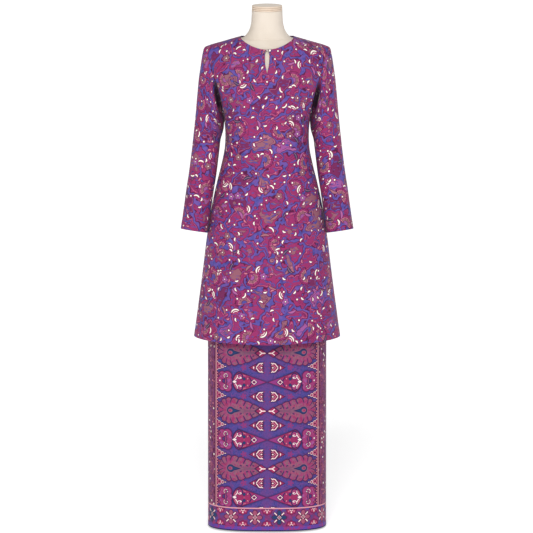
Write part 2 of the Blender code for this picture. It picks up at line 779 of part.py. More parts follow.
def pearl_button(mat):
    """A round pearl with a flat back, just off the cloth beside the slit."""
    place, normal = front_frame(PEARL_OUT, FRONT_NECK - PEARL_BELOW_NECK)
    profile = [(0, 0)]
    for turn in np.linspace(PEARL_FLAT, math.pi / 2, PEARL_STEPS + 1):
        up = math.sin(turn) - math.sin(PEARL_FLAT)
        profile.append((PEARL_RADIUS * math.cos(turn), PEARL_RADIUS * up))
    profile[-1] = (0, profile[-1][1])
    pearl = turned("pearl_button", profile, mat, steps=20)
    tilt = math.atan2(math.hypot(normal[0], normal[1]), normal[2])
    pearl.rotation_euler = (0, tilt, math.atan2(normal[1], normal[0]))
    pearl.location = place + normal * (WALL / 2 + SEAM)


def button_loop(mat):
    """The narrow loop sewn to the other side of the slit and slipped under the pearl."""
    centre_z = FRONT_NECK - PEARL_BELOW_NECK
    outline = []
    bends = (
        (PEARL_OUT, LOOP_BEND, np.linspace(-LOOP_WRAP, LOOP_WRAP, 11)),
        (LOOP_END, LOOP_END_BEND, np.linspace(LOOP_WRAP, 2 * math.pi - LOOP_WRAP, 6)),
    )
    for middle, bend, turns in bends:
        for turn in turns:
            outline.append((middle + bend * math.cos(turn), bend * math.sin(turn)))
    lift = WALL / 2 + SEAM + LOOP_RADIUS
    curve = bpy.data.curves.new("button_loop", "CURVE")
    curve.dimensions = "3D"
    curve.bevel_depth = LOOP_RADIUS
    curve.bevel_resolution = 1
    spline = curve.splines.new("POLY")
    spline.points.add(len(outline) - 1)
    spline.use_cyclic_u = True
    for point, (x, up) in zip(spline.points, outline):
        place, normal = front_frame(x, centre_z + up)
        point.co = (*(place + normal * lift), 1)
    obj = bpy.data.objects.new("button_loop", curve)
    obj.data.materials.append(mat)
    bpy.context.scene.collection.objects.link(obj)


def stand(mat):
    """Round foot, pole and the flange that carries the form."""
    foot = [
        (0, 0),
        (BASE_RADIUS - BASE_CHAMFER / 2, 0),
        (BASE_RADIUS, BASE_CHAMFER / 2),
        (BASE_RADIUS, BASE_HEIGHT - BASE_CHAMFER),
        (BASE_RADIUS - BASE_CHAMFER, BASE_HEIGHT),
        (0, BASE_HEIGHT),
    ]
    turned("stand_base", foot, mat, steps=48)
    form_bottom = FORM_BELLY[0][0]
    pole_bottom = BASE_HEIGHT + SEAM
    pole_top = form_bottom - FLANGE_HEIGHT - 2 * SEAM
    pole = [
        (0, pole_bottom),
        (POLE_RADIUS, pole_bottom),
        (POLE_RADIUS, pole_top),
        (0, pole_top),
    ]
    turned("stand_pole", pole, mat, steps=32)
    under = form_bottom - FLANGE_HEIGHT - SEAM
    flange = [
        (0, under),
        (POLE_RADIUS + SEAM, under),
        (POLE_RADIUS + SEAM, under - COLLAR_HEIGHT),
        (COLLAR_RADIUS, under - COLLAR_HEIGHT),
        (COLLAR_RADIUS, under),
        (FLANGE_RADIUS, under),
        (FLANGE_RADIUS, under + FLANGE_HEIGHT),
        (0, under + FLANGE_HEIGHT),
    ]
    turned("stand_flange", flange, mat, steps=32)


def main():
    clear_scene()
    tunic_cloth = material("tunic", 0.62)
    kain_cloth = material("kain", 0.62)
    front, back = (
        (grid, tunic_normals(grid, side))
        for side, grid in ((-1, tunic_surface(-1)), (1, tunic_surface(1)))
    )
    match_armholes(front, back)
    tunic_panel("tunic_front", -1, front, tunic_cloth)
    tunic_panel("tunic_back", 1, back, tunic_cloth)
    sleeves(front, back, tunic_cloth)
    kain_panels(kain_cloth)
    waistband(kain_cloth)
    form_torso(material("form", 0.8))
    neck_cap(material("cap", 0.5))
    pearl_button(material("pearl", 0.2))
    button_loop(material("loop", 0.7))
    stand(material("stand", 0.4, 0.6))


main()
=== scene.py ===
"""A baju kurung on its dress form: printed tunic, patterned kain, padded form and its cap.

Metres, +Z up. The front faces -Y and the wearer's left is +X. Cloth lies on the outer skins
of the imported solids, a thin shell each, with the print drawn over the cloth's own lengths.
"""

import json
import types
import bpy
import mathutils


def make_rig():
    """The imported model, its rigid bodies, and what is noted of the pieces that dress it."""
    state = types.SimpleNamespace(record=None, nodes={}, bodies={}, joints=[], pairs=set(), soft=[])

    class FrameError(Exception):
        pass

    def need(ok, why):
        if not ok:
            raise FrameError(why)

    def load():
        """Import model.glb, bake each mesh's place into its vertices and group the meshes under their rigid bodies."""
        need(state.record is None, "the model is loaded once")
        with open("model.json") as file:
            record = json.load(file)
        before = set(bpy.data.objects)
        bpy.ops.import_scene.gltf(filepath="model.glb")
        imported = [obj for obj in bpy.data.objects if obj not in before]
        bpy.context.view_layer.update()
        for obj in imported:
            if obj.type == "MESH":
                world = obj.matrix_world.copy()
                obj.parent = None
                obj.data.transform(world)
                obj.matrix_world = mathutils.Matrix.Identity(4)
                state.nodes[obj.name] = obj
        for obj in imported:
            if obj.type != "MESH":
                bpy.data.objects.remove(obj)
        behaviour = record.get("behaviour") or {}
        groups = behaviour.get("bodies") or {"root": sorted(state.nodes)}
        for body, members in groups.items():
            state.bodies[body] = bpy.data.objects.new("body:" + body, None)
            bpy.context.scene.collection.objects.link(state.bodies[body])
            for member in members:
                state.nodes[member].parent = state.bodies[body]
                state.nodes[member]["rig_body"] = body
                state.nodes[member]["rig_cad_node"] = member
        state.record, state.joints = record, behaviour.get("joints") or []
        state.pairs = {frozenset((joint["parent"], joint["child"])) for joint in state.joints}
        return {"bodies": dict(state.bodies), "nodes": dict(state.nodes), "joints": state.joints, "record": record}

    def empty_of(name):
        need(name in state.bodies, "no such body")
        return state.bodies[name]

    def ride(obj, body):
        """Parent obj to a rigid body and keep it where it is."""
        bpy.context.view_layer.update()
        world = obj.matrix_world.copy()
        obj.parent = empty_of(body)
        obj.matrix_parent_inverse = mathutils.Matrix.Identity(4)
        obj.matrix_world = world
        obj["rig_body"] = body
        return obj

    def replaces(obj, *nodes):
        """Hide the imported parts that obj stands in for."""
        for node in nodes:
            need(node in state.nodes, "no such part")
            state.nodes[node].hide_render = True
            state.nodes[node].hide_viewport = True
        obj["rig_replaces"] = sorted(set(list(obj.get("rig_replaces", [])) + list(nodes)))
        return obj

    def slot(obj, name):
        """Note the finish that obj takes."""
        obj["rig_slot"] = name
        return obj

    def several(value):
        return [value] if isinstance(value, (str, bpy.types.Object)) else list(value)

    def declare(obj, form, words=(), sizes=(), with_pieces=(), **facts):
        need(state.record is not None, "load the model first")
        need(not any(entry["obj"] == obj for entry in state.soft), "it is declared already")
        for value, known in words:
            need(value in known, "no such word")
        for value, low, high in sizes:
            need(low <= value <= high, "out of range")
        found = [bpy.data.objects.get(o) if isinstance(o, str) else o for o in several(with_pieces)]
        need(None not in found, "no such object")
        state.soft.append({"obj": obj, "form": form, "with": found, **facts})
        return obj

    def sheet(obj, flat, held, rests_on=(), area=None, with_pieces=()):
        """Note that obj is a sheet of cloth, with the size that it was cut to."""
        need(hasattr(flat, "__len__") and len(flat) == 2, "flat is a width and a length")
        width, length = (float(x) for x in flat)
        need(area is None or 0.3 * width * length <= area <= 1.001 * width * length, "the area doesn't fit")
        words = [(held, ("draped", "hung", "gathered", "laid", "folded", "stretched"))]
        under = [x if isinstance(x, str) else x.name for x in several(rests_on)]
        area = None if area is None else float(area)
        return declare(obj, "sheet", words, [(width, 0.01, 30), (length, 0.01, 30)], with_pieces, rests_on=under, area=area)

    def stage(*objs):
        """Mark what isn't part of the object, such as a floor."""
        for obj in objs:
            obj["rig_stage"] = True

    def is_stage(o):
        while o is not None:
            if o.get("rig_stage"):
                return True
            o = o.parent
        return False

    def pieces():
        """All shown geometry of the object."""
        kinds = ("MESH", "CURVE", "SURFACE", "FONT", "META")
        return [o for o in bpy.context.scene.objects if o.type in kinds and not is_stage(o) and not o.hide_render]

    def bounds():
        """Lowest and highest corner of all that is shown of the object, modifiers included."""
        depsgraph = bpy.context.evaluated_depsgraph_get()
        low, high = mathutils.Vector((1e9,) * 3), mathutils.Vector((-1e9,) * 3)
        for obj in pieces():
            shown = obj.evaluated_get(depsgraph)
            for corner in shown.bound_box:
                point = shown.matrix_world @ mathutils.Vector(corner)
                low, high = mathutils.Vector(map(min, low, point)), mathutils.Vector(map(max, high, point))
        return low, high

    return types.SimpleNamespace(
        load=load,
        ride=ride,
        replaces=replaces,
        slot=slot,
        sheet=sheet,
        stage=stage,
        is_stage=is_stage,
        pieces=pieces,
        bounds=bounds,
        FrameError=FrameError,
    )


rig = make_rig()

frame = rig.load()

import json
import math
from functools import partialmethod

import bmesh
import bpy
import numpy as np
from mathutils import Vector

cad_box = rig.bounds()

FRONT, BACK, LEFT, RIGHT = (0, -1, 0), (0, 1, 0), (1, 0, 0), (-1, 0, 0)

# Cloth shells
WALL = 0.0012
BAND_WALL = 0.0015
GRID_STEP = 0.0034
EDGE_ROLL = 0.0004
MERGE = 2e-5
SAME_POINT = 3e-4
RIM_ANGLE = math.radians(50)
SMOOTH_ANGLE = math.radians(50)
FACING = 0.7
FOOT_REACH = 0.020
HEM_FOLD = 0.022
KAIN_FOLD = 0.014
RING_SIDES = 144
RING_WAVES = 15
# Two corners further apart than this across the cloth lie on either side of a tube's seam
SEAM_JUMP = 0.1


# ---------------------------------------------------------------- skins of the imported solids


def merged(node):
    """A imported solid's mesh, its corners joined."""
    shell = bmesh.new()
    shell.from_mesh(frame["nodes"][node].data)
    bmesh.ops.remove_doubles(shell, verts=shell.verts, dist=MERGE)
    return shell


def outer_skin(node, lead):
    """A cloth solid's merged mesh and the faces of its outer skin. lead points out of it."""
    shell = merged(node)
    shell.normal_update()
    lead = Vector(lead)
    facing = [face for face in shell.faces if face.normal.dot(lead) > FACING]
    seed = max(facing, key=lambda face: face.calc_center_median().dot(lead))
    skin, edge_of_skin = {seed}, [seed]
    while edge_of_skin:
        for side in edge_of_skin.pop().edges:
            if side.is_manifold and side.calc_face_angle() < RIM_ANGLE:
                fresh = [face for face in side.link_faces if face not in skin]
                skin.update(fresh)
                edge_of_skin += fresh
    return shell, skin


def layers_from_foot(skin):
    """The skin's vertices in layers, from its lowest rim up, and each one's neighbours."""
    near = {vert: set() for face in skin for vert in face.verts}
    rim = set()
    for face in skin:
        for side in face.edges:
            first, second = side.verts
            near[first].add(second)
            near[second].add(first)
            if sum(other in skin for other in side.link_faces) == 1:
                rim.update(side.verts)
    low = min(vert.co.z for vert in near)
    layer = {vert for vert in rim if vert.co.z < low + FOOT_REACH}
    done, layers = set(), []
    while layer:
        layers.append(layer)
        done |= layer
        layer = {other for vert in layer for other in near[vert]} - done
    return near, layers


def half_panel(node, lead):
    """Rows of points over a panel's half on +X, from its foot up and from its side inwards.

    The panel is the same on both sides, so each half fills in what the other lacks.
    """
    shell, skin = outer_skin(node, lead)
    _, layers = layers_from_foot(skin)
    points = np.array([vert.co for layer in layers for vert in layer])
    points[:, 0] = np.abs(points[:, 0])
    level = np.concatenate([np.full(len(layer), i) for i, layer in enumerate(layers)])
    shell.free()
    rows = [[] for _ in layers]
    for i, point in enumerate(points):
        same = np.linalg.norm(points - point, axis=1) < SAME_POINT
        if i == np.flatnonzero(same)[0]:
            rows[level[same].min()].append(points[same].mean(axis=0))
    return np.array([sorted(row, key=lambda point: -point[0]) for row in rows])


def tube(node, lead, seam):
    """Rings of points over a tube's outer skin, from its foot up, each in line with the last.

    Each starts on the side that seam points to.
    """
    shell, skin = outer_skin(node, lead)
    near, layers = layers_from_foot(skin)
    rings = []
    for layer in layers:
        start = max(layer, key=lambda vert: vert.co.dot(Vector(seam)))
        beside = [vert for vert in near[start] if vert in layer]
        ring = [start, min(beside, key=lambda vert: vert.co.y)]
        while len(ring) < len(layer):
            ring.append(next(v for v in near[ring[-1]] if v in layer and v not in ring))
        ring = np.array([vert.co for vert in ring])
        if rings:
            turned = [np.roll(ring, shift, axis=0) for shift in range(len(ring))]
            ring = min(turned, key=lambda other: ((other - rings[-1]) ** 2).sum())
        rings.append(ring)
    shell.free()
    return np.array(rings)


def level_rings(node):
    """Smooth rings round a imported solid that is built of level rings, from its foot up."""
    points = np.array([vert.co for vert in frame["nodes"][node].data.vertices])
    level = np.round(points[:, 2], 4)
    turns = np.linspace(0, 2 * math.pi, RING_SIDES, endpoint=False)
    rings = []
    for height in np.unique(level):
        x, y, _ = points[level == height].T
        turn, first = np.unique(np.round(np.arctan2(y, x), 4), return_index=True)
        reach = np.interp(turns, turn, np.hypot(x, y)[first], period=2 * math.pi)
        waves = np.fft.rfft(reach)
        waves[RING_WAVES:] = 0
        reach = np.fft.irfft(waves, RING_SIDES)
        ring = [reach * np.cos(turns), reach * np.sin(turns), np.full(RING_SIDES, height)]
        rings.append(np.stack(ring, 1))
    return np.array(rings)


# ---------------------------------------------------------------- grids of points


def spaced(grid):
    """The mean distances from row to row, and how far on each row lies."""
    gaps = np.linalg.norm(np.diff(grid, axis=0), axis=2).mean(axis=1)
    return gaps, np.concatenate([[0], np.cumsum(gaps)])


def shares_of(gap, step):
    """Where the fine rows lie in the gap between two rows, about step apart, as shares of it."""
    return np.linspace(0, 1, max(1, round(gap / step)) + 1)[1:]


def refined(grid, step, closed=False):
    """The grid with rows added smoothly between its own, about step apart.

    closed grids go on from their last row to their first.
    """
    count = len(grid)
    if closed:
        grid = np.concatenate([grid[-3:], grid, grid[:4]])
    gaps, at = spaced(grid)
    slope = np.gradient(grid, at, axis=0)
    first, last = (3, count + 3) if closed else (0, count - 1)
    rows = [grid[first : first + 1]]
    for i in range(first, last):
        t = shares_of(gaps[i], step)[:, None, None]
        rows.append(
            grid[i] * (1 + 2 * t) * (1 - t) ** 2
            + slope[i] * gaps[i] * t * (1 - t) ** 2
            + grid[i + 1] * t * t * (3 - 2 * t)
            + slope[i + 1] * gaps[i] * t * t * (t - 1)
        )
    fine = np.concatenate(rows)
    return fine[:-1] if closed else fine


def swapped(grid):
    return np.swapaxes(grid, 0, 1)


def unit(vectors):
    return vectors / (np.linalg.norm(vectors, axis=-1, keepdims=True) + 1e-12)


def normals_of(grid, outward, closed=False):
    """Unit normals over rows and columns, turned to the side that outward points to."""
    along = np.gradient(grid, axis=0)
    if closed:
        across = np.roll(grid, -1, axis=1) - np.roll(grid, 1, axis=1)
    else:
        across = np.gradient(grid, axis=1)
    normal = unit(np.cross(across, along))
    return -normal if (normal * outward).sum() < 0 else normal


def run_along(grid, axis):
    """How far each point lies along its row or column."""
    steps = np.linalg.norm(np.diff(grid, axis=axis), axis=2)
    start = np.zeros_like(np.take(steps, [0], axis=axis))
    return np.concatenate([start, np.cumsum(steps, axis=axis)], axis=axis)


def rising(low, high, at):
    """Nought up to low and one from high on, smooth between."""
    share = np.clip((at - low) / (high - low), 0, 1)
    return share * share * (3 - 2 * share)


def falling(low, high, at):
    """One up to low and nought from high on, smooth between."""
    return 1 - rising(low, high, at)


def folded_height(across, up, folds):
    """Height of the soft folds over a sheet.

    Each of folds is: place across, place up, turn in degrees from level, half length,
    half width, height (below nought is a trough), bow of its line.
    """
    height = np.zeros_like(across)
    for place, level, turn, half_length, half_width, depth, bow in folds:
        angle = math.radians(turn)
        x, y = across - place, up - level
        along = (x * math.cos(angle) + y * math.sin(angle)) / half_length
        off = (y * math.cos(angle) - x * math.sin(angle)) / half_width + bow * along**2
        height += depth * np.exp(-(along**4) - off**2)
    return height


# ---------------------------------------------------------------- shells


def grid_faces(rows, columns, closed=False, split_from=None):
    """Faces of four over a grid, as (row, column, side) keys of their corners.

    From row split_from up the middle column is cut: side tells its two edges apart.
    """
    middle = columns // 2
    faces = []
    for row in range(rows - 1):
        for column in range(columns if closed else columns - 1):
            corners = []
            for r, c in ((0, 0), (0, 1), (1, 1), (1, 0)):
                cut = split_from is not None and column + c == middle and row + r >= split_from
                side = (1 if c == 0 else -1) if cut else 0
                corners.append((row + r, column + c, side))
            faces.append(corners)
    return faces


def rim_loops(faces):
    """The open edges of a skin of faces, each loop as vertex numbers in the faces' own turn."""
    ends = {(face[i - 1], face[i]) for face in faces for i in range(len(face))}
    onward = {a: b for a, b in ends if (b, a) not in ends}
    loops = []
    while onward:
        loop = [next(iter(onward))]
        while onward[loop[-1]] != loop[0]:
            loop.append(onward[loop[-1]])
        for vert in loop:
            del onward[vert]
        loops.append(loop)
    return loops


def rolled_rim(points, normals, loop, wall):
    """Points of a soft turned edge, midway through the wall and a little past the rim."""
    rim = points[loop]
    after, before = np.roll(rim, -1, axis=0), np.roll(rim, 1, axis=0)
    out = np.cross(after - before, normals[loop])
    turned_back = np.linalg.norm(after - before, axis=1) < SAME_POINT
    out[turned_back] = ((after + before) / 2 - rim)[turned_back]
    return rim - normals[loop] * wall / 2 + unit(out) * EDGE_ROLL


def linked_object(name, mesh):
    obj = bpy.data.objects.new(name, mesh)
    bpy.context.scene.collection.objects.link(obj)
    return obj


def cloth(name, grid, normals, across, up, wall, material, closed=False, slit=None, tucked=None):
    """A thin shell under a grid of points. Its attribute reverse is one on the inside.

    across and up are the UV map's metres. slit is how far each row of the middle column
    opens to either side, rising from nought. tucked, nought to one, is how dark the
    painted shade is at each point, in the armhole's tuck and on a sleeve's inner side, and is kept as an attribute.
    """
    rows, columns = grid.shape[:2]
    split_from = None if slit is None else int(np.flatnonzero(slit > 0)[0])
    keyed = grid_faces(rows, columns, closed, split_from)
    number, faces = {}, []
    for corners in keyed:
        keys = [(row, column % columns, side) for row, column, side in corners]
        faces.append([number.setdefault(key, len(number)) for key in keys])
    row, column, side = np.array(list(number)).T
    points, facing = grid[row, column], normals[row, column]
    if slit is not None:
        points[:, 0] = np.where(side == 0, points[:, 0], side * slit[row])
    uv_of = np.stack([across[row, column], up[row, column]], axis=1)
    count = len(points)

    # A tube's last faces go on past its last column, to where the first would come again
    again = across[:, -1:] + (across[:, -1:] - across[:, -2:-1])
    u, v = np.concatenate([across, again], axis=1), np.concatenate([up, up[:, :1]], axis=1)
    r, c, _ = np.moveaxis(np.array(keyed), -1, 0)
    corner_uvs = np.stack([u[r, c], v[r, c]], axis=-1)
    first = points[faces[0]]
    if np.cross(first[1] - first[0], first[2] - first[0]) @ facing[faces[0][0]] < 0:
        faces = [face[::-1] for face in faces]
        corner_uvs = corner_uvs[:, ::-1]

    skins = [points, points - facing * wall]
    all_faces = faces + [[vert + count for vert in face[::-1]] for face in faces]
    all_uvs = [corner_uvs, corner_uvs[:, ::-1]]
    start = 2 * count
    for loop in rim_loops(faces):
        skins.append(rolled_rim(points, facing, loop, wall))
        for i, vert in enumerate(loop):
            after = (i + 1) % len(loop)
            low, high, beyond = start + i, start + after, loop[after]
            all_faces.append([beyond, vert, low, high])
            all_faces.append([high, low, vert + count, beyond + count])
            here, there = uv_of[vert], uv_of[beyond]
            if abs(there[0] - here[0]) > SEAM_JUMP:
                there = here
            all_uvs.append(np.array([[there, here, here, there]] * 2))
        start += len(loop)

    mesh = bpy.data.meshes.new(name)
    mesh.from_pydata(np.concatenate(skins).tolist(), [], all_faces)
    layer = mesh.uv_layers.new(name="cloth")
    layer.data.foreach_set("uv", np.concatenate(all_uvs).astype(np.float32).ravel())
    mesh.materials.append(material)
    inside = np.zeros(len(all_faces), np.float32)
    inside[len(faces) : 2 * len(faces)] = 1
    mesh.attributes.new("reverse", "FLOAT", "FACE").data.foreach_set("value", inside)
    painted_shade_values = np.zeros(len(mesh.vertices), np.float32)
    if tucked is not None:
        painted_shade_values[:count] = tucked[row, column]
    mesh.attributes.new("tucked", "FLOAT", "POINT").data.foreach_set("value", painted_shade_values)
    mesh.update()
    mesh.shade_smooth()
    return linked_object(name, mesh)


# ---------------------------------------------------------------- shader arithmetic


class Term:
    """A shader socket that arithmetic works on. Lengths are in millimetres of cloth."""

    def __init__(self, recipe, socket):
        self.recipe = recipe
        self.socket = socket

    def math(self, operation, *others):
        return self.recipe.math(operation, self, *others)

    def __rsub__(self, other):
        return self.recipe.math("SUBTRACT", other, self)

    def wrapped(self, length):
        """The rest of a length after whole steps of it, centred on nought."""
        return self.math("WRAP", length / 2, -length / 2)

    def part(self, low, high):
        """Nought at low and one at high, smooth between, whichever of them is the larger."""
        ends = {1: min(low, high), 2: max(low, high), 3: float(low > high), 4: float(low < high)}
        return self.recipe.node("MapRange", {"interpolation_type": "SMOOTHSTEP"}, {0: self, **ends})

    def inside(self, soft=0.35):
        """One where this distance is below nought, with a soft edge."""
        return self.part(soft, -soft)

    def line(self, width):
        """One on a line of this width along the distance's nought."""
        return (abs(self) - width / 2).inside(0.3)


# Each of these words or signs makes one Math node
for word, operation in (
    ("__add__", "ADD"),
    ("__radd__", "ADD"),
    ("__sub__", "SUBTRACT"),
    ("__mul__", "MULTIPLY"),
    ("__rmul__", "MULTIPLY"),
    ("__truediv__", "DIVIDE"),
    ("__pow__", "POWER"),
    ("__abs__", "ABSOLUTE"),
    ("sine", "SINE"),
    ("cosine", "COSINE"),
    ("floor", "FLOOR"),
    ("at_most", "MINIMUM"),
    ("at_least", "MAXIMUM"),
    ("over", "GREATER_THAN"),
    ("under", "LESS_THAN"),
):
    setattr(Term, word, partialmethod(Term.math, operation))


class Recipe:
    """A material's node tree, and the one way its nodes are made."""

    def __init__(self, name):
        self.material = bpy.data.materials.new(name)
        self.material.use_nodes = True
        self.tree = self.material.node_tree

    def fill(self, made, values):
        """Links or sets a node's inputs, given in order or as a dict by place or name."""
        pairs = values.items() if isinstance(values, dict) else enumerate(values)
        for place, value in pairs:
            if isinstance(value, Term):
                self.tree.links.new(value.socket, made.inputs[place])
            else:
                made.inputs[place].default_value = value

    def node(self, kind, settings=None, values=(), output=0):
        """One output of a new node, whose settings come before its inputs' values."""
        made = self.tree.nodes.new("ShaderNode" + kind)
        for name, value in (settings or {}).items():
            setattr(made, name, value)
        self.fill(made, values)
        return Term(self, made.outputs[output])

    def finish(self, values):
        """Fills the shader's inputs and hands over the material."""
        self.fill(self.tree.nodes["Principled BSDF"], values)
        return self.material

    def others(self, term, *outputs):
        """More outputs of the node that a term comes from."""
        made = term.socket.node
        return [Term(self, made.outputs[name]) for name in outputs]

    def math(self, operation, *values):
        return self.node("Math", {"operation": operation}, values)

    def vector(self, x, y):
        return self.node("CombineXYZ", None, (x, y))

    def vector_math(self, operation, *values, output=0):
        return self.node("VectorMath", {"operation": operation}, values, output)

    def split(self, vector):
        """The three numbers of a place or a colour."""
        first = self.node("SeparateXYZ", None, (vector,))
        return [first, *self.others(first, "Y", "Z")]

    def object_place(self):
        return self.node("TexCoord", None, (), "Object")

    def attribute(self, name):
        return self.node("Attribute", {"attribute_name": name}, (), "Fac")

    def length(self, x, y):
        return self.vector_math("LENGTH", self.vector(x, y), output="Value")

    def angle(self, x, y):
        return self.math("ARCTAN2", y, x)

    def polar(self, x, y):
        return self.length(x, y), self.angle(x, y)

    def noise(self, place, size, detail, seed):
        """Soft noise, about a half on average, with blotches of this size."""
        shifted = self.vector_math("ADD", place, (0, 0, seed))
        values = {"Vector": shifted, "Scale": 1 / size, "Detail": detail, "Roughness": 0.5}
        return self.node("TexNoise", {"noise_dimensions": "3D"}, values)

    def bump(self, strength, distance, height, **base):
        values = {"Strength": strength, "Distance": distance, "Height": height, **base}
        return self.node("Bump", None, values)

    def cells(self, feature, place, size, stray):
        settings = {"voronoi_dimensions": "2D", "feature": feature}
        values = {"Vector": place, "Scale": 1 / size, "Randomness": stray}
        return self.node("TexVoronoi", settings, values)

    def in_cells(self, place, size, stray):
        """Place within scattered cells, and three random numbers that each cell keeps."""
        colour, middle = self.others(self.cells("F1", place, size, stray), "Color", "Position")
        x, y, _ = self.split(self.vector_math("SUBTRACT", place, middle))
        return x, y, self.split(colour)

    def islands(self, place, size, stray):
        """Distance in from the edges of scattered cells, and two numbers that each keeps."""
        edge = self.cells("DISTANCE_TO_EDGE", place, size, stray)
        (colour,) = self.others(self.cells("F1", place, size, stray), "Color")
        return edge * size, self.split(colour)[:2]

    def stroke(self, x, y, *ends):
        """Distance from the straight strokes that join these points in turn."""
        nearest = None
        for start, end in zip(ends, ends[1:]):
            run, rise = end[0] - start[0], end[1] - start[1]
            right, above = x - start[0], y - start[1]
            along = (right * run + above * rise) / (run * run + rise * rise)
            along = along.at_least(0).at_most(1)
            away = self.length(right - along * run, above - along * rise)
            nearest = away if nearest is None else nearest.at_most(away)
        return nearest

    def blend(self, below, above, share):
        settings = {"data_type": "RGBA", "clamp_factor": True}
        return self.node("Mix", settings, {0: share, 6: below, 7: above}, 2)


def tint(red, green, blue):
    """A colour given in the screen's own steps, 0 to 255."""

    def linear(step):
        share = step / 255
        return share / 12.92 if share <= 0.04045 else ((share + 0.055) / 1.055) ** 2.4

    return (linear(red), linear(green), linear(blue), 1.0)


# Once round, in radians, for the scattered motifs and for the weave
CELL_TURN = 6.283
WEAVE_TURN = 6.2832


class Print(Recipe):
    """A cloth's printed colours, laid one over another.

    across and up are the place on the cloth in millimetres, from its middle line and its
    foot. there, nought to one, is where the motif in hand is laid, or None for everywhere.
    """

    def __init__(self, name, ground):
        super().__init__(name)
        x, y, _ = self.split(self.node("UVMap", {"uv_map": "cloth"}))
        self.across, self.up = x * 1000, y * 1000
        self.place = self.vector(self.across, self.up)
        self.colour = ground
        self.there = None

    def lay(self, colour, share):
        if self.there is not None:
            share = share * self.there
        self.colour = self.blend(self.colour, colour, share)

    def rings(self, distance, *rings):
        """One shape in several colours, each with how far it reaches past the distance's nought."""
        for colour, reach, *soft in rings:
            self.lay(colour, (distance - reach).inside(*soft))

    def disc(self, x, y, *rings):
        self.rings(self.length(x, y), *rings)

    def scattered(self, size, stray, shift=None):
        """Place within scattered cells, each turned its own way, and two numbers it keeps.

        shift moves the cells over the cloth, so that no two motifs share theirs.
        """
        place = self.vector_math("ADD", self.place, (*shift, 0)) if shift else self.place
        x, y, (turn, shown, kind) = self.in_cells(place, size, stray)
        turn = turn * CELL_TURN
        c, s = turn.cosine(), turn.sine()
        return x * c + y * s, y * c - x * s, shown, kind


# ---------------------------------------------------------------- the tunic's print

PERIWINKLE = tint(80, 74, 152)
HEATHER = tint(116, 80, 158)
PLUM = tint(146, 46, 104)
CRIMSON_PLUM = tint(154, 46, 98)
DEEP_PLUM = tint(116, 38, 88)
MAUVE = tint(146, 94, 108)
ORCHID = tint(154, 84, 150)
TEAL = tint(34, 64, 96)
NIGHT = tint(58, 40, 104)
MAROON = tint(84, 20, 62)
PINK = tint(206, 118, 142)
CREAM = tint(250, 238, 230)
PALE_REVERSE = tint(150, 128, 160)
# Painted shade for the armhole's tuck and the sleeves' inner sides, not a colour of the print
PAINTED_FOLD_SHADE = tint(22, 8, 24)


def tunic_print(ink):
    """Plum islands in a periwinkle ground, under fans, blossoms, leaves, arcs and commas."""
    drift_x = ink.noise(ink.place, 32, 1.5, 3.7) - 0.5
    drift_y = ink.noise(ink.place, 32, 1.5, 9.1) - 0.5
    wander = ink.vector(ink.across + drift_x * 84, ink.up + drift_y * 84)
    mottle = ink.noise(ink.place, 13, 2.0, 1.3)
    broad = ink.noise(ink.place, 46, 1.0, 5.1)
    ink.lay(HEATHER, mottle.part(0.40, 0.64) * 0.8)
    ink.lay(NIGHT, mottle.part(0.42, 0.30) * 0.5)

    edge, (kind, core) = ink.islands(wander, 58, 0.95)
    island = 1.0 + broad * 9.0 - edge
    fill = ink.blend(PLUM, CRIMSON_PLUM, mottle.part(0.4, 0.6))
    fill = ink.blend(fill, DEEP_PLUM, kind.over(0.72))
    fill = ink.blend(fill, MAUVE, kind.over(0.86))
    fill = ink.blend(fill, TEAL, kind.over(0.70) * kind.under(0.735))
    fill = ink.blend(fill, ORCHID, kind.over(0.975))
    ink.rings(island, (MAROON, 1.4, 0.6), (fill, -1.0, 0.6))
    ink.lay(PINK, (island + 4.4).line(1.0) * core.under(0.45) * 0.8)
    ink.lay(DEEP_PLUM, (island + 8.2).line(2.0) * core.under(0.7))
    ink.lay(MAUVE, (island + 12.5).inside(0.8) * core.over(0.55) * 0.9)
    ink.lay(ORCHID, (island + 16.0).inside(0.8) * core.over(0.82))
    ink.lay(MAROON, (island + 13.0).line(1.2) * core.over(0.4))
    streak = ink.noise(ink.vector(ink.across * 0.6, ink.up * 1.7), 9, 2.0, 6.4)
    ink.lay(DEEP_PLUM, streak.part(0.53, 0.62) * (island + 2).inside() * 0.55)
    ink.lay(PERIWINKLE, (0.655 - broad * 0.1 - streak).inside(0.02) * (island + 3).inside())
    for motif in (fans, blossoms, leaves, arcs, commas):
        motif(ink)


def fans(ink):
    """Half rosettes of three scalloped rings, turned this way and that."""
    x, y, shown, kind = ink.scattered(86, 0.6)
    reach, around = ink.polar(x + 9, y)
    scallop = abs((around * 4.5).cosine()) * 2.6
    outer = (reach - 25 - scallop).at_least(abs(around) * 10 - 16.5)
    band = (reach - 17.5 - scallop * 0.8).at_least(abs(around) * 10 - 15.5)
    eye = (reach - 9.5).at_least(abs(around) * 10 - 14.5)
    ink.there = shown.over(0.34)
    ink.rings(outer, (MAROON, 0.7), (PLUM, -0.9))
    ink.rings(band, (PINK, 0.5), (MAUVE, -0.9))
    ink.rings(eye, (MAROON, 0.5), (ink.blend(ORCHID, PERIWINKLE, kind.over(0.5)), -0.9))
    spokes = ((around * 9.0).cosine() * 2.2 - 1.9).over(0.0) * (reach - 14).over(-2.0)
    ink.lay(MAROON, spokes * (outer + 2.4).inside() * 0.75)


def blossoms(ink):
    """Small five-petalled flowers with an eye."""
    x, y, shown, kind = ink.scattered(60, 0.8, (31, 17))
    reach, around = ink.polar(x, y)
    petals = reach - 7.5 - abs((around * 2.5).cosine()) * 4.2
    fill = ink.blend(MAUVE, ink.blend(PLUM, ORCHID, kind.over(0.66)), kind.over(0.35))
    ink.there = shown.over(0.52)
    ink.rings(petals, (MAROON, 0.8), (fill, -0.6))
    ink.rings(reach, (MAROON, 3.4), (CREAM, 2.0))


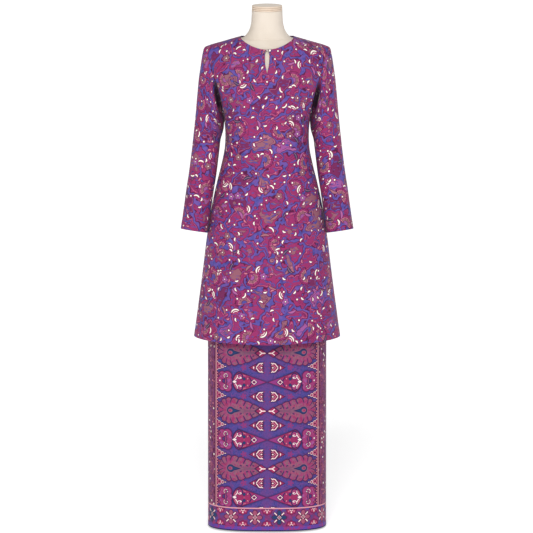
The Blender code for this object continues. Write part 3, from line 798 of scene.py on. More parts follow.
def leaves(ink):
    """Bent leaves with a pale rib."""
    x, y, shown, kind = ink.scattered(56, 0.9, (7, 43))
    bent = y + x * x * 0.02
    blade = abs(bent) - 4.6 * (1 - (x / 15) ** 2).at_least(0)
    fill = ink.blend(TEAL, ink.blend(MAUVE, ORCHID, kind.over(0.7)), kind.over(0.45))
    ink.there = shown.over(0.5)
    ink.lay(MAROON, (blade - 0.7).inside() * (abs(x) - 15).inside())
    ink.lay(fill, (blade + 0.8).inside() * (abs(x) - 14).inside())
    ink.lay(PINK, bent.line(0.9) * (abs(x) - 11).inside())


def arcs(ink):
    """Short cream arcs, each edged in maroon."""
    x, y, shown, size = ink.scattered(62, 0.85, (53, 5))
    radius = size * 7 + 9
    reach, around = ink.polar(x + radius, y)
    ring, around = reach - radius, abs(around)
    taper = (1 - around**4).at_least(0) * 2.1
    near = (around - 1.2).inside(0.05)
    second = (abs(ring + 6.0) - taper * 0.45).inside() * (around - 0.8).inside(0.03)
    ink.there = shown.over(0.45)
    ink.lay(CRIMSON_PLUM, (abs(ring + 3.5) - 8.0).inside(0.8) * near)
    ink.lay(MAROON, (abs(ring) - taper - 1.5).inside(0.8) * near)
    ink.lay(CREAM, (abs(ring) - taper + 0.1).inside() * (around - 0.98).inside(0.03))
    ink.lay(CREAM, second * size.over(0.45))


def commas(ink):
    """Small cream commas and dots."""
    x, y, shown, kind = ink.scattered(29, 0.85, (19, 61))
    head = x + 2
    bent = y + head * head * 0.07
    along = ((x + 5.5) / 11).at_least(0).at_most(1)
    body = abs(bent) - (along * (1 - along)).at_least(0) ** 0.5 * (along + 0.25) * 5.4
    body = body.at_least(abs(x) - 5.4)
    dot = ink.length(x, y) - 2.4
    shape = ink.node("Mix", {"data_type": "FLOAT"}, {0: kind.over(0.62), 2: body, 3: dot})
    fill = ink.blend(CREAM, PINK, kind.under(0.18))
    ink.there = shown.over(0.42)
    ink.rings(shape, (PLUM, 3.6, 0.8), (MAROON, 1.8, 0.9), (fill, 0.2))


# ---------------------------------------------------------------- the kain's pattern

FIELD = tint(70, 64, 136)
FIELD_RED = tint(100, 58, 124)
MAGENTA = tint(148, 46, 108)
CRIMSON = tint(146, 40, 88)
ROSE = tint(152, 76, 104)
DUSK_ROSE = tint(132, 88, 108)
VIOLET = tint(136, 52, 120)
NAVY = tint(38, 32, 84)
SEA = tint(34, 58, 100)
BAND = tint(112, 50, 104)
STRIP = tint(94, 62, 152)
BORDER_PINK = tint(212, 146, 156)
SMOKE = tint(112, 74, 100)
KAIN_CREAM = tint(240, 214, 214)

ROW_PITCH = 88.0
FIRST_ROW = 103.0
SIDE_LINE = 163.0
BORDER_TOP = 70.0
FLOWER_PITCH = 73.0
FLOWER_LEVEL = 42.0
STRIP_TOP = 14.5
BODY_PITCH = 52.0
LOBE_PITCH = 21.0


def mottled_field(ink):
    mottle = ink.noise(ink.place, 17, 2.0, 3.3)
    ink.lay(FIELD_RED, mottle.part(0.44, 0.62) * 0.8)
    fleck = ink.noise(ink.place, 3.4, 1.0, 8.8)
    ink.lay(NAVY, fleck.part(0.56, 0.70) * 0.6)
    ink.lay(VIOLET, fleck.part(0.42, 0.30) * 0.5)


def kain_head(ink):
    """Rows of facing pointed motifs, leaf and flower by turns, with small ones between."""
    out = abs(ink.across)
    mottled_field(ink)
    ink.lay(FIELD_RED, out.part(26, 8) * 0.5)
    rise = ink.up - FIRST_ROW
    high = abs(rise.wrapped(ROW_PITCH))
    row = (rise / ROW_PITCH + 0.5).floor()
    flower = abs(row.wrapped(2.0)).under(0.5)
    ink.there = 1 - flower
    leaf_motif(ink, out, high)
    ink.there = flower
    flower_foot(ink, out, high)
    flower_body(ink, out, high)
    ink.there = None
    off = abs((rise - ROW_PITCH / 2).wrapped(ROW_PITCH))
    side_leaves(ink, out, off)
    crowns(ink, out, off)


def leaf_motif(ink, out, high):
    """A pointed leaf of round lobes, with a seed at its foot and a bird at its tip."""
    grown = ((out - 2) / 108).at_least(0).at_most(1)
    past = (out - 110).at_least(0) * 0.9
    along = out.at_most(110) + ink.angle(high, past) * 46
    lobe = abs(((along - 44) * (math.pi / LOBE_PITCH)).sine())
    shape = (ink.length(past, high) - (grown * 1.5708).sine() * 35 - lobe * grown * 5.0) * 0.9
    ink.lay(NAVY, shape.part(7.5, 0.5) * 0.6)
    ink.rings(shape, (MAROON, 1.2), (ROSE, -0.8))
    slanted = along + shape * 0.42
    grain = ink.noise(ink.vector(slanted * 0.9, shape * 0.30), 5.0, 1.5, 2.2)
    ink.lay(MAGENTA, grain.part(0.49, 0.54) * (shape + 1.6).inside() * 0.85)
    ink.lay(SMOKE, grain.part(0.47, 0.40) * (shape + 1.6).inside() * 0.9)
    mottle = ink.noise(ink.vector(out, ink.up), 9, 1.5, 6.2)
    ink.lay(CRIMSON, mottle.part(0.56, 0.62) * (shape + 3.0).inside() * 0.7)
    ink.lay(DUSK_ROSE, mottle.part(0.44, 0.38) * (shape + 3.0).inside() * 0.7)
    cut = abs(((slanted - 44) * (math.pi / LOBE_PITCH)).sine()) * 6.2 - 1.5
    depth = (shape + 17).at_least(0).at_most(3) / 3
    ink.lay(NAVY, cut.inside(0.8) * depth * (shape - 0.2).inside() * out.over(34) * 0.9)
    slots = ink.length((out - 60).wrapped(19.0) * 0.70 - (high - 9) * 0.5, high - 9) - 2.4
    ink.lay(NAVY, slots.inside(0.6) * (abs(out - 58) - 30).inside() * 0.85)
    spine = (high - 3.0 - (out - 30) * 0.06).at_least(abs(out - 66) - 36)
    ink.lay(SMOKE, spine.inside(1.2) * 0.8)
    seed = ink.length(out - 110, high) - 11.0
    seed = seed.at_most((high - (out - 80) * 0.30).at_least(out - 108))
    ink.lay(DUSK_ROSE, (seed - 3.2).inside(0.8) * 0.8)
    ink.rings(seed, (NAVY, 0.6), (SEA, -1.8))
    ink.disc((out - 111) * 0.8, high, (ROSE, 5.4))
    ink.disc(out - 112, high, (CRIMSON, 3.0))
    tip = abs(out - 18) * 0.74 + high - 13.0
    ink.lay(NAVY, (tip - 2.6).inside() * out.over(20))
    ink.rings(tip, (MAROON, 0.8), (CRIMSON, -1.8))
    tail = ink.stroke(out, high, (6.0, 0.0), (14.0, 0.0)) - 1.5
    wings = ink.stroke(out, high, (15.0, 0.0), (22.0, 5.4)) - 1.4
    ink.lay(KAIN_CREAM, tail.at_most(wings).inside())


def flower_foot(ink, out, high):
    """An open flower of round petals, with two curls and an eye."""
    petals = ink.length(out - 149, high) - 11.5
    for middle, off, radius in ((138, 17, 12.5), (120, 17.5, 13.5), (116, 0, 13)):
        petals = petals.at_most(ink.length(out - middle, high - off) - radius)
    ink.lay(NAVY, petals.part(7.0, 0.5) * 0.6)
    ink.rings(petals, (MAROON, 1.0), (MAGENTA, -0.8))
    veins = (abs((petals * 1.2).wrapped(6.0)) - 0.8).inside(0.5)
    ink.lay(ROSE, veins * (petals + 2).inside() * 0.8)
    shade = ink.noise(ink.vector(out, ink.up), 10, 1.0, 7.7)
    ink.lay(ORCHID, shade.part(0.55, 0.66) * (petals + 2.5).inside() * 0.7)
    curl = ink.length(out - 126, high - 16) - 6.4
    ink.lay(MAROON, curl.line(4.0) * (high + out * 0.5).over(72))
    ink.lay(KAIN_CREAM, curl.line(1.5) * (high + out * 0.5).over(75))
    ink.disc(out - 122, high - 15, (KAIN_CREAM, 1.9))
    lip = ink.length(out - 112, high - 9) - 13.0
    ink.lay(NAVY, lip.line(2.4) * out.over(113) * high.under(20))
    ink.lay(ROSE, (lip - 2.6).line(1.4) * out.over(116) * high.under(17))
    ink.disc(out - 147, high, (MAROON, 4.0), (KAIN_CREAM, 2.6))


def flower_body(ink, out, high):
    """The pointed body over the flower, with a curl, spots, a chevron and a diamond."""
    wedge = (high - (out - 2) * 0.36) * 0.94
    body = wedge.at_least(ink.length((out - 70).at_least(0), high) - 33)
    ink.lay(NAVY, body.part(7.0, 0.5) * 0.6)
    ink.lay(NAVY, (body - 2.6).inside() * out.over(60))
    ink.rings(body, (MAROON, 0.8), (CRIMSON, -0.8))
    ink.lay(VIOLET, (body + 0.8).inside() * out.part(38, 30))
    fleck = ink.noise(ink.vector(out, ink.up), 7, 1.0, 4.1)
    ink.lay(MAGENTA, fleck.part(0.52, 0.6) * (body + 2).inside() * 0.8)
    ink.lay(BORDER_PINK, (body + 4.2).line(0.9) * out.over(64))
    curl = ink.length(out - 82, high - 17.5) - 7.6
    opened = (out - 81).at_most(16.5 - high)
    ink.lay(NAVY, (curl - 2.4).inside() * (body + 1).inside())
    ink.rings(curl, (MAGENTA, -1.0))
    ink.lay(ROSE, (curl + 3.6).line(1.3))
    ink.lay(KAIN_CREAM, curl.line(1.8) * (opened + 4).at_least(0 - opened - 30).over(0.0))
    hook = ink.stroke(out, high, (77.5, 13.0), (81.5, 14.5)) - 1.3
    stem = ink.stroke(out, high, (97.0, 3.0), (89.5, 14.0)) - 1.2
    ink.lay(KAIN_CREAM, hook.at_most(stem).inside())
    blob = abs(out - 98) * 0.72 + high
    ink.rings(blob, (NAVY, 6.8), (KAIN_CREAM, 4.8))
    spot = ink.length(out - 69, high - 9.5)
    ink.rings(spot, (NAVY, 5.0), (SEA, 3.4))
    ink.disc(out - 69, high, (ROSE, 2.2))
    comma = ink.length((out - 58) * 1.3, high - 10.5 + (out - 58) * 0.5)
    ink.rings(comma, (MAROON, 3.9), (PINK, 2.6))
    chevron = (abs(out - 45 - high * 0.55) - 1.9).at_least(high - 15)
    ink.lay(NAVY, chevron.inside() * (body + 1).inside())
    diamond = abs(out - 39) + high * 1.05
    ink.rings(diamond, (NAVY, 11.2), (KAIN_CREAM, 8.5), (CRIMSON, 6.1), (NAVY, 3.4))


def side_leaves(ink, out, off):
    """Scalloped leaves at the side lines, between the rows of motifs, with beads and buds."""
    scallop = abs(((out - 131) * 0.30).sine()) * 3.0
    leaf = (off - (out - 131) * 0.40 - scallop).at_least(out - SIDE_LINE + 1)
    ink.lay(NAVY, leaf.part(6.0, 0.5) * 0.5)
    ink.rings(leaf, (MAROON, 1.6), (KAIN_CREAM, -0.1), (CRIMSON, -1.6))
    eye = ink.length((out - 150) * 0.8, off)
    ink.lay(PINK, (eye - 4.6).line(1.3))
    ink.rings(eye, (MAROON, 2.6))
    ink.disc(out - 140, off, (KAIN_CREAM, 1.4))
    bead = ink.length(out - 157, (off - 21).wrapped(8.0))
    ink.there = off.over(17) * off.under(41)
    ink.rings(bead, (MAROON, 4.2), (CRIMSON, 3.0), (BORDER_PINK, 1.6))
    ink.there = None
    bud = ink.length((out - 149) * 0.8, (off - 25) * 1.2)
    ink.rings(bud, (MAROON, 4.6), (ROSE, 3.0), (CRIMSON, 1.4))


def crowns(ink, out, off):
    """Crowns and arrowheads near the middle line, between the rows, and small flowers."""
    arrow = (off - (54 - out) * 0.55).at_least(32 - out)
    ink.rings(arrow, (MAROON, 1.0), (CRIMSON, -1.8))
    ink.lay(KAIN_CREAM, (abs(out - 40) * 1.9 + off * 0.8 - 4.0).inside())
    crown = ink.stroke(out, off, (13.0, 14.0), (17.5, 10.5))
    crown = crown.at_most(ink.stroke(out, off, (17.5, 13.5), (24.0, 12.0), (32.0, 1.5)))
    hexagon = (off - 15.5).at_least((out - 36 + off * 0.62) * 0.85).at_least(11.0 - out)
    ink.lay(NAVY, hexagon.part(5.0, 0.5) * 0.6)
    ink.lay(MAROON, hexagon.inside())
    ink.lay(CRIMSON, (hexagon + 4.4).inside() * out.over(15))
    ink.rings(crown, (KAIN_CREAM, 1.15))
    tier = ink.stroke(out, off, (13.5, 6.6), (19.0, 6.2), (25.0, 0.8))
    ink.rings(tier, (MAROON, 2.2), (PINK, 0.95))
    ink.disc((out - 17) * 0.8, off, (MAROON, 3.4), (KAIN_CREAM, 2.0))
    ink.lay(CRIMSON, (ink.length(out - 8, off - 15) - 2.0).inside(0.8) * 0.8)
    ink.lay(CRIMSON, (ink.length(out - 6, off) - 1.7).inside(0.8) * 0.8)

    reach, around = ink.polar(out - 70, off)
    lobe = abs((around * 2.5).cosine())
    ink.lay(VIOLET, (reach - 5 - lobe * 4.5).inside() * 0.55)
    ink.lay(CRIMSON, (abs(reach - 6.5) - 2.2).inside() * lobe.over(0.75) * 0.75)
    ink.lay(CRIMSON, (reach - 2.4).inside() * 0.8)


def kain_body(ink):
    """The back's ground: sprigs in a half drop, each a flower and its leaves, and lozenges."""
    mottled_field(ink)
    column = (ink.across / BODY_PITCH + 0.5).floor()
    dropped = ink.up + column.wrapped(2.0) * BODY_PITCH / 2
    x, y = ink.across.wrapped(BODY_PITCH), dropped.wrapped(BODY_PITCH)
    reach, around = ink.polar(x, y)
    wide = abs(x)
    ink.lay(NAVY, (reach - 20).part(4.0, -2.0) * 0.45)
    rib = y + wide * 0.42 - 4
    leaf = ink.length((wide - 15) * 0.42, rib) - 4.4
    upper = ink.length((wide - 8) * 0.7, (y - 15) * 0.55 + wide * 0.2) - 4.0
    ink.rings(leaf.at_most(upper), (MAROON, 0.9))
    ink.rings(leaf, (ROSE, -0.6))
    ink.rings(upper, (MAGENTA, -0.6))
    ink.lay(DUSK_ROSE, rib.line(0.9) * (leaf + 1.2).inside())
    petals = reach - 8.6 - abs((around * 3.0).cosine()) * 3.4
    ink.rings(petals, (MAROON, 0.9), (CRIMSON, -0.7), (MAGENTA, -2.4))
    ink.rings(reach, (NAVY, 4.8), (CREAM, 3.2), (CRIMSON, 1.5))
    beside = (ink.across + BODY_PITCH / 2).wrapped(BODY_PITCH)
    lozenge = abs(beside) * 1.2 + abs(dropped.wrapped(BODY_PITCH / 2))
    ink.rings(lozenge, (NAVY, 8.4), (BORDER_PINK, 5.6), (CRIMSON, 3.6))


def side_bands(ink):
    """Mauve bands of flecks past the pink lines, round the side seams."""
    out = abs(ink.across)
    past = out.over(SIDE_LINE)
    ink.lay(BAND, past)
    ink.there = past
    place = ink.vector(ink.across, ink.up * 0.7)
    ink.lay(ROSE, ink.noise(place, 12, 1.5, 3.9).part(0.52, 0.6) * 0.8)
    x, y, (_, shown, kind) = ink.in_cells(place, 11, 0.75)
    reach = ink.length(x, y)
    ink.lay(MAROON, (reach - 4.2).inside(0.8) * shown.over(0.2))
    fleck = ink.blend(ROSE, ink.blend(PINK, CREAM, kind.over(0.8)), kind.over(0.5))
    ink.lay(fleck, (reach - 2.3).inside(0.6) * shown.over(0.35))
    vine = out - ((ink.up * 0.11).sine() * 4 + SIDE_LINE + 16)
    ink.lay(MAROON, vine.line(3.4) * 0.8)
    ink.lay(ROSE, vine.line(1.4))
    ink.there = None
    ink.lay(MAROON, (abs(out - SIDE_LINE - 6) - 2.2).inside(0.8) * 0.8)
    ink.lay(MAROON, (out - SIDE_LINE).line(6.5))
    ink.lay(BORDER_PINK, (out - SIDE_LINE).line(3.8))


def foot_border(ink):
    """The border along the hem: crossed flowers, half medallions, a plain strip and edge."""
    below = ink.up.under(BORDER_TOP)
    ink.lay(BAND, below)
    blotch = ink.noise(ink.place, 13, 1.0, 5.5)
    ink.lay(FIELD, blotch.part(0.50, 0.56) * below * 0.8)
    ink.lay(MAGENTA, blotch.part(0.44, 0.38) * below * 0.7)
    x = (ink.across - FLOWER_PITCH / 2).wrapped(FLOWER_PITCH)
    y = ink.up - FLOWER_LEVEL
    wide, tall = abs(x), abs(y)
    petal = ink.length((wide.at_least(tall) - 13) * 0.72, wide.at_most(tall)) - 6.6
    third = abs((ink.across / FLOWER_PITCH).floor().wrapped(3.0)).under(0.5)
    ink.rings(petal, (MAROON, 1.2), (ink.blend(ROSE, SEA, third), -0.6))
    one, two = abs(x + y) * 0.7071, abs(x - y) * 0.7071
    bar = (one.at_most(two) - 1.8).at_least(abs(one.at_least(two) - 15.5) - 5.6)
    ink.rings(bar, (MAROON, 1.3), (KAIN_CREAM, -0.3))
    ink.rings(wide + tall, (KAIN_CREAM, 6.4), (MAROON, 5.0), (PINK, 2.4))

    x = abs(ink.across.wrapped(FLOWER_PITCH))
    for level, sense in ((66.0, -1.0), (16.0, 1.0)):
        y = (ink.up - level) * sense
        reach, around = ink.polar(x, y)
        half = (reach - 14 - abs((around * 4.0).cosine()) * 2.4).at_least(0 - y)
        ink.rings(half, (MAROON, 1.0), (CRIMSON, -0.8))
        ink.disc(x - 8, y - 5, (PINK, 2.3))
        ink.disc(x, y - 9, (KAIN_CREAM, 2.1))
        ink.lay(KAIN_CREAM, (abs(reach - 4.5) - 0.8).at_least(0 - y).inside())
    ink.lay(BORDER_PINK, (ink.up - BORDER_TOP).line(3.6))
    strip = ink.up.under(STRIP_TOP)
    ink.lay(STRIP, strip)
    ink.lay(MAGENTA, blotch.part(0.47, 0.42) * strip * 0.8)
    ink.lay(NAVY, (ink.up - 3.6).inside(0.8))


# ---------------------------------------------------------------- cloth surfaces


def woven(ink, thread, fold):
    """Woven threads, slubs, a soft lustre and the doubled hem's edge, fold up from the foot,
    with painted shade along that edge, in the armhole's tuck and on the sleeves' inner sides.
    """
    slub = ink.noise(ink.vector(ink.across * 0.22, ink.up * 2.4), 3.0, 2.0, 1.1)
    warp_slub = ink.noise(ink.vector(ink.across * 2.6, ink.up * 0.20), 3.0, 2.0, 8.3)
    cloudy = ink.noise(ink.place, 120, 2.0, 15.0)
    uneven = 0.80 + slub * 0.16 + warp_slub * 0.14 + cloudy * 0.10
    grey = ink.node("CombineColor", None, (uneven, uneven, uneven))
    shaded = {"data_type": "RGBA", "blend_type": "MULTIPLY"}
    colour = ink.node("Mix", shaded, {0: 1.0, 6: ink.colour, 7: grey}, 2)
    colour = ink.blend(colour, PALE_REVERSE, ink.attribute("reverse") * 0.35)
    past_fold = ink.up - fold * 1000
    # Painted shade: a dark maroon line along the top of the hem's fold
    colour = ink.blend(colour, MAROON, (past_fold - 0.4).line(0.9) * 0.35)
    # Painted shade, darkest in the armhole's tuck and along the sleeves' inner sides
    colour = ink.blend(colour, PAINTED_FOLD_SHADE, ink.attribute("tucked") * 0.96)
    weft = (ink.up * (WEAVE_TURN / thread)).sine()
    warp = (ink.across * (WEAVE_TURN / thread)).sine()
    over = ((ink.across / thread).floor() + (ink.up / thread).floor()).wrapped(2.0)
    weave = weft * warp * 0.5 + over * 0.2 + slub * 0.8 + warp_slub * 0.6
    ridge = ink.bump(0.8, 0.0004, past_fold.part(0.5, -0.5))
    return ink.finish(
        {
            "Base Color": colour,
            "Roughness": 0.50 + slub * 0.16 + cloudy * 0.12,
            "Normal": ink.bump(0.5, 0.00014, weave, Normal=ridge),
            "Sheen Weight": 0.06,
            "Sheen Roughness": 0.45,
            "Specular IOR Level": 0.16,
        }
    )


def tunic_cloth(name):
    ink = Print(name, PERIWINKLE)
    tunic_print(ink)
    return woven(ink, 0.55, HEM_FOLD)


def kain_cloth(name, head):
    ink = Print(name, FIELD)
    if head:
        kain_head(ink)
        side_bands(ink)
    else:
        kain_body(ink)
    foot_border(ink)
    return woven(ink, 0.5, KAIN_FOLD)


# ---------------------------------------------------------------- other surfaces


def padded_cover():
    """The form's tight cover: a fine cream weave, a little warmer and greyer in places."""
    made = Recipe("form_cover_cloth")
    place = made.object_place()
    x, y, z = made.split(place)
    cloudy = made.noise(place, 0.09, 2.0, 1.0)
    threads = (z * 5200).sine() * 0.5 + ((x + y) * 4700).sine() * 0.5
    fibre = made.noise(place, 0.0016, 2.0, 4.0)
    colour = made.blend(tint(228, 216, 202), tint(219, 206, 190), cloudy.part(0.35, 0.7))
    colour = made.blend(colour, tint(207, 193, 174), fibre.part(0.55, 0.8) * 0.3)
    return made.finish(
        {
            "Base Color": colour,
            "Roughness": 0.72 + fibre * 0.16,
            "Normal": made.bump(0.35, 0.0002, threads + fibre * 2),
            "Sheen Weight": 0.15,
            "Specular IOR Level": 0.3,
        }
    )


def cap_paint():
    """Painted wood: a cream top and ring over a tan band, darker where the grooves run."""
    made = Recipe("cap_paint")
    place = made.object_place()
    above = (made.split(place)[2] - CAP_FOOT) * 1000
    grain = made.noise(place, 0.012, 3.0, 2.0)
    colour = made.blend(tint(228, 208, 188), tint(250, 238, 224), above.part(15.3, 16.0))
    colour = made.blend(colour, tint(222, 196, 168), grain.part(0.5, 0.75) * 0.3)
    # Darker in the two grooves
    low, high = ((abs(above - level) - 0.7).inside(0.4) for level in (5.17, 10.33))
    colour = made.blend(colour, tint(170, 140, 112), low.at_least(high) * 0.8)
    return made.finish(
        {
            "Base Color": colour,
            "Roughness": 0.42 + grain * 0.2,
            "Normal": made.bump(0.2, 0.0002, grain),
            "Coat Weight": 0.15,
            "Coat Roughness": 0.3,
        }
    )


def pearl_coat():
    """A pale pearl, its tint drifting between rose and green over the ball."""
    made = Recipe("pearl_coat")
    drift = made.noise(made.object_place(), 0.004, 2.0, 3.0)
    rose, green = tint(250, 240, 236), tint(236, 240, 230)
    return made.finish(
        {
            "Base Color": made.blend(rose, green, drift.part(0.4, 0.65)),
            "Roughness": 0.16 + drift * 0.12,
            "Coat Weight": 0.8,
            "Coat Roughness": 0.08,
            "Sheen Weight": 0.2,
        }
    )


# The fibres' size and seed, the roughness and how far it varies, and the sheen
CORD_THREAD = (0.0006, 5.0, 0.6, 0.2, 0.3)
SEWING_THREAD = (0.0009, 6.0, 0.5, 0.25, 0.4)


def thread(name, dark, light, size, seed, rough, varied, sheen):
    """Twisted thread, its fibres between two colours."""
    made = Recipe(name)
    fibre = made.noise(made.object_place(), size, 2.0, seed)
    return made.finish(
        {
            "Base Color": made.blend(dark, light, fibre),
            "Roughness": rough + fibre * varied,
            "Sheen Weight": sheen,
        }
    )


def brushed_steel():
    """Satin steel for the foot, pole and flange."""
    made = Recipe("stand_steel")
    place = made.object_place()
    drawn = made.node("Mapping", None, {"Vector": place, "Scale": (40, 40, 900)})
    streak = made.noise(drawn, 1.0, 3.0, 1.0)
    worn = made.noise(place, 0.05, 3.0, 2.0)
    return made.finish(
        {
            "Base Color": made.blend(tint(196, 196, 198), tint(158, 158, 162), worn),
            "Roughness": 0.26 + streak * 0.16 + worn * 0.1,
            "Metallic": 1.0,
        }
    )


# ---------------------------------------------------------------- shaping the cloth

FOLD_RISE = 0.00045
FOLD_STEP = 0.002
SEAM_DIP = 0.0005
SEAM_REACH = 0.006
CREASE_FADE = 0.030
SLIT_SQUEEZE = 0.0216
TUCK_DEPTH = 0.014
TUCK_WALL = 0.0085
TUCK_FLOOR = 0.008
TUCK_REACH = 0.034
BACK_TUCK = 0.5
UNDERARM_RISE = 0.0066

# Soft folds: place across, place up, turn in degrees, half length, half width,
# height, bow. Metres from the middle line and from the hem or cuff.
FRONT_FOLDS = (
    (-0.105, 0.250, 84, 0.240, 0.030, 0.0026, 0.4),
    (0.098, 0.235, 97, 0.225, 0.027, 0.0024, -0.5),
    (-0.040, 0.150, 91, 0.150, 0.026, 0.0015, 0.3),
    (0.046, 0.175, 88, 0.170, 0.024, 0.0017, -0.2),
    (-0.168, 0.140, 80, 0.150, 0.024, -0.0018, 0.2),
    (0.164, 0.155, 99, 0.160, 0.022, -0.0017, -0.3),
    (-0.072, 0.300, 86, 0.160, 0.017, -0.0012, 0.3),
    (0.070, 0.320, 93, 0.175, 0.018, -0.0012, -0.2),
    (-0.086, 0.560, 8, 0.040, 0.009, 0.0011, 0.8),
    (-0.078, 0.592, -5, 0.046, 0.010, 0.0012, 0.7),
    (0.084, 0.548, -9, 0.038, 0.009, 0.0011, 0.8),
    (0.080, 0.585, 4, 0.044, 0.010, 0.0012, 0.6),
    (0.088, 0.622, 12, 0.034, 0.008, 0.0009, 0.5),
    (-0.092, 0.632, -14, 0.036, 0.008, 0.0009, 0.5),
    (-0.112, 0.700, 38, 0.042, 0.011, 0.0013, 0.4),
    (0.114, 0.696, 143, 0.040, 0.011, 0.0013, -0.4),
    (-0.128, 0.745, 58, 0.040, 0.010, 0.0012, 0.3),
    (0.128, 0.752, 121, 0.042, 0.010, 0.0012, -0.3),
    (-0.132, 0.812, 74, 0.038, 0.009, 0.0009, 0.3),
    (0.134, 0.806, 105, 0.036, 0.009, 0.0009, -0.3),
    (0.000, 0.720, 2, 0.050, 0.016, 0.0008, 0.9),
)
BACK_FOLDS = (
    (-0.092, 0.240, 95, 0.230, 0.030, 0.0025, -0.4),
    (0.108, 0.260, 83, 0.245, 0.028, 0.0026, 0.5),
    (-0.034, 0.165, 89, 0.165, 0.025, 0.0016, 0.3),
    (0.042, 0.140, 93, 0.140, 0.026, 0.0015, -0.3),
    (-0.160, 0.150, 98, 0.150, 0.023, -0.0018, 0.2),
    (0.166, 0.140, 81, 0.150, 0.024, -0.0018, -0.2),
    (-0.066, 0.555, 7, 0.060, 0.011, 0.0014, 0.9),
    (0.050, 0.575, -6, 0.066, 0.012, 0.0015, 0.8),
    (-0.030, 0.602, 3, 0.070, 0.011, 0.0013, 0.7),
    (0.072, 0.632, 9, 0.050, 0.010, 0.0010, 0.6),
    (-0.082, 0.640, -11, 0.048, 0.010, 0.0010, 0.5),
    (-0.104, 0.730, 118, 0.050, 0.013, 0.0012, 0.4),
    (0.106, 0.742, 64, 0.050, 0.013, 0.0012, -0.4),
    (0.000, 0.800, 90, 0.070, 0.030, -0.0008, 0.2),
)
# On the sleeves the front lies below nought across and the seam at the far ends
SLEEVE_FOLDS = (
    (-0.060, 0.205, 24, 0.030, 0.0085, 0.0015, 0.6),
    (-0.052, 0.232, 12, 0.034, 0.0090, 0.0018, 0.7),
    (-0.064, 0.260, -6, 0.036, 0.0095, 0.0019, 0.6),
    (-0.055, 0.290, -18, 0.032, 0.0090, 0.0015, 0.6),
    (-0.080, 0.322, -30, 0.030, 0.0085, 0.0011, 0.5),
    (0.048, 0.218, -14, 0.032, 0.0090, 0.0013, 0.6),
    (0.060, 0.262, 5, 0.036, 0.0100, 0.0015, 0.7),
    (0.052, 0.305, 20, 0.032, 0.0090, 0.0012, 0.5),
    (-0.030, 0.110, 78, 0.080, 0.0120, 0.0010, 0.4),
    (0.040, 0.100, 100, 0.080, 0.0120, 0.0010, -0.4),
    (-0.050, 0.400, 66, 0.055, 0.0130, 0.0014, 0.5),
    (-0.012, 0.420, 84, 0.060, 0.0120, 0.0011, 0.3),
    (0.052, 0.405, 112, 0.055, 0.0130, 0.0013, -0.4),
    (-0.085, 0.385, 48, 0.040, 0.0100, 0.0010, 0.4),
    (-0.070, 0.040, 8, 0.030, 0.0090, 0.0008, 0.5),
    (0.066, 0.052, -10, 0.030, 0.0090, 0.0008, 0.5),
)
KAIN_FOLDS = (
    (-0.118, 0.340, 91, 0.330, 0.034, 0.0016, 0.3),
    (0.104, 0.360, 88, 0.340, 0.032, 0.0015, -0.3),
    (-0.046, 0.250, 89, 0.240, 0.030, -0.0010, 0.2),
    (0.030, 0.300, 92, 0.280, 0.030, 0.0009, -0.2),
    (0.168, 0.240, 90, 0.230, 0.022, -0.0010, 0.2),
    (-0.176, 0.260, 91, 0.240, 0.022, -0.0010, 0.2),
    (-0.060, 0.120, 12, 0.090, 0.026, 0.0007, 0.6),
    (0.086, 0.170, -9, 0.100, 0.028, 0.0008, 0.5),
    (-0.020, 0.420, 6, 0.110, 0.030, 0.0008, 0.5),
)


def hem_rise(up, fold):
    """How far the doubled hem lifts the cloth."""
    return FOLD_RISE * falling(fold - FOLD_STEP, fold + FOLD_STEP, up)


def seam_dip(inward):
    """How far the cloth is drawn in beside a seam."""
    return SEAM_DIP * falling(0, SEAM_REACH, inward)


def panel_height(folds, fold):
    """How a panel's cloth lies off its solid: soft folds, a doubled hem, drawn-in seams."""

    def height(across, up):
        to_side = across[:, -1:] - np.abs(across)
        fade = rising(0, CREASE_FADE, to_side) * rising(0, CREASE_FADE, up[-1:] - up)
        return folded_height(across, up, folds) * fade + hem_rise(up, fold) - seam_dip(to_side)

    return height


def round_and_down(across, up):
    """Over a sleeve: how far round it, nought outside and one at its seam, and how far down."""
    return np.abs(across) / -across[:, :1], up[-1:] - up


def beside_armhole(across, around):
    """Nought to one along the lower half of the armhole, the back's share less."""
    low_half = rising(0.38, 0.60, around) * falling(0.80, 0.90, around)
    return low_half * np.where(across < 0, 1, BACK_TUCK)


def sleeve_height(across, up):
    """How a sleeve's cloth lies off its solid, as a panel's does.

    Its head is also pressed into a tuck beside the armhole, and it leans on the body under that.
    """
    around, down = round_and_down(across, up)
    to_seam = -across[:, :1] - np.abs(across)
    lift = folded_height(across, up, SLEEVE_FOLDS)
    lift *= rising(0, CREASE_FADE, down) * rising(0, CREASE_FADE, to_seam)
    lean = rising(0, 0.024, down) * falling(0.040, 0.085, down) * rising(0.72, 0.90, around)
    tuck = rising(0.0005, TUCK_WALL, down) * falling(TUCK_FLOOR, TUCK_REACH, down)
    lift += hem_rise(up, HEM_FOLD) + UNDERARM_RISE * lean
    lift -= TUCK_DEPTH * tuck * beside_armhole(across, around)
    return lift - seam_dip(to_seam) - seam_dip(down)


def sleeve_shade(across, up):
    """Nought to one: the depth of shade in the tuck, on to the sleeve's inner side."""
    around, down = round_and_down(across, up)
    inner = rising(0.56, 0.80, around) * falling(0.010, 0.160, down)
    inner = 0.8 * inner * np.where(across < 0, 1, BACK_TUCK)
    reach = 0.018 + 0.026 * rising(0.40, 0.72, around)
    return np.maximum(beside_armhole(across, around) * falling(0.3 * reach, reach, down), inner)


def panel_shade(across, high):
    """Nought to one: the shade on a panel's edge beside the lower half of the armhole."""
    beside = falling(0.001, 0.0095, across[:, -1:] - np.abs(across))
    return beside * rising(1.246, 1.262, high) * falling(1.325, 1.375, high)


def level_height(across, _):
    return np.zeros_like(across)


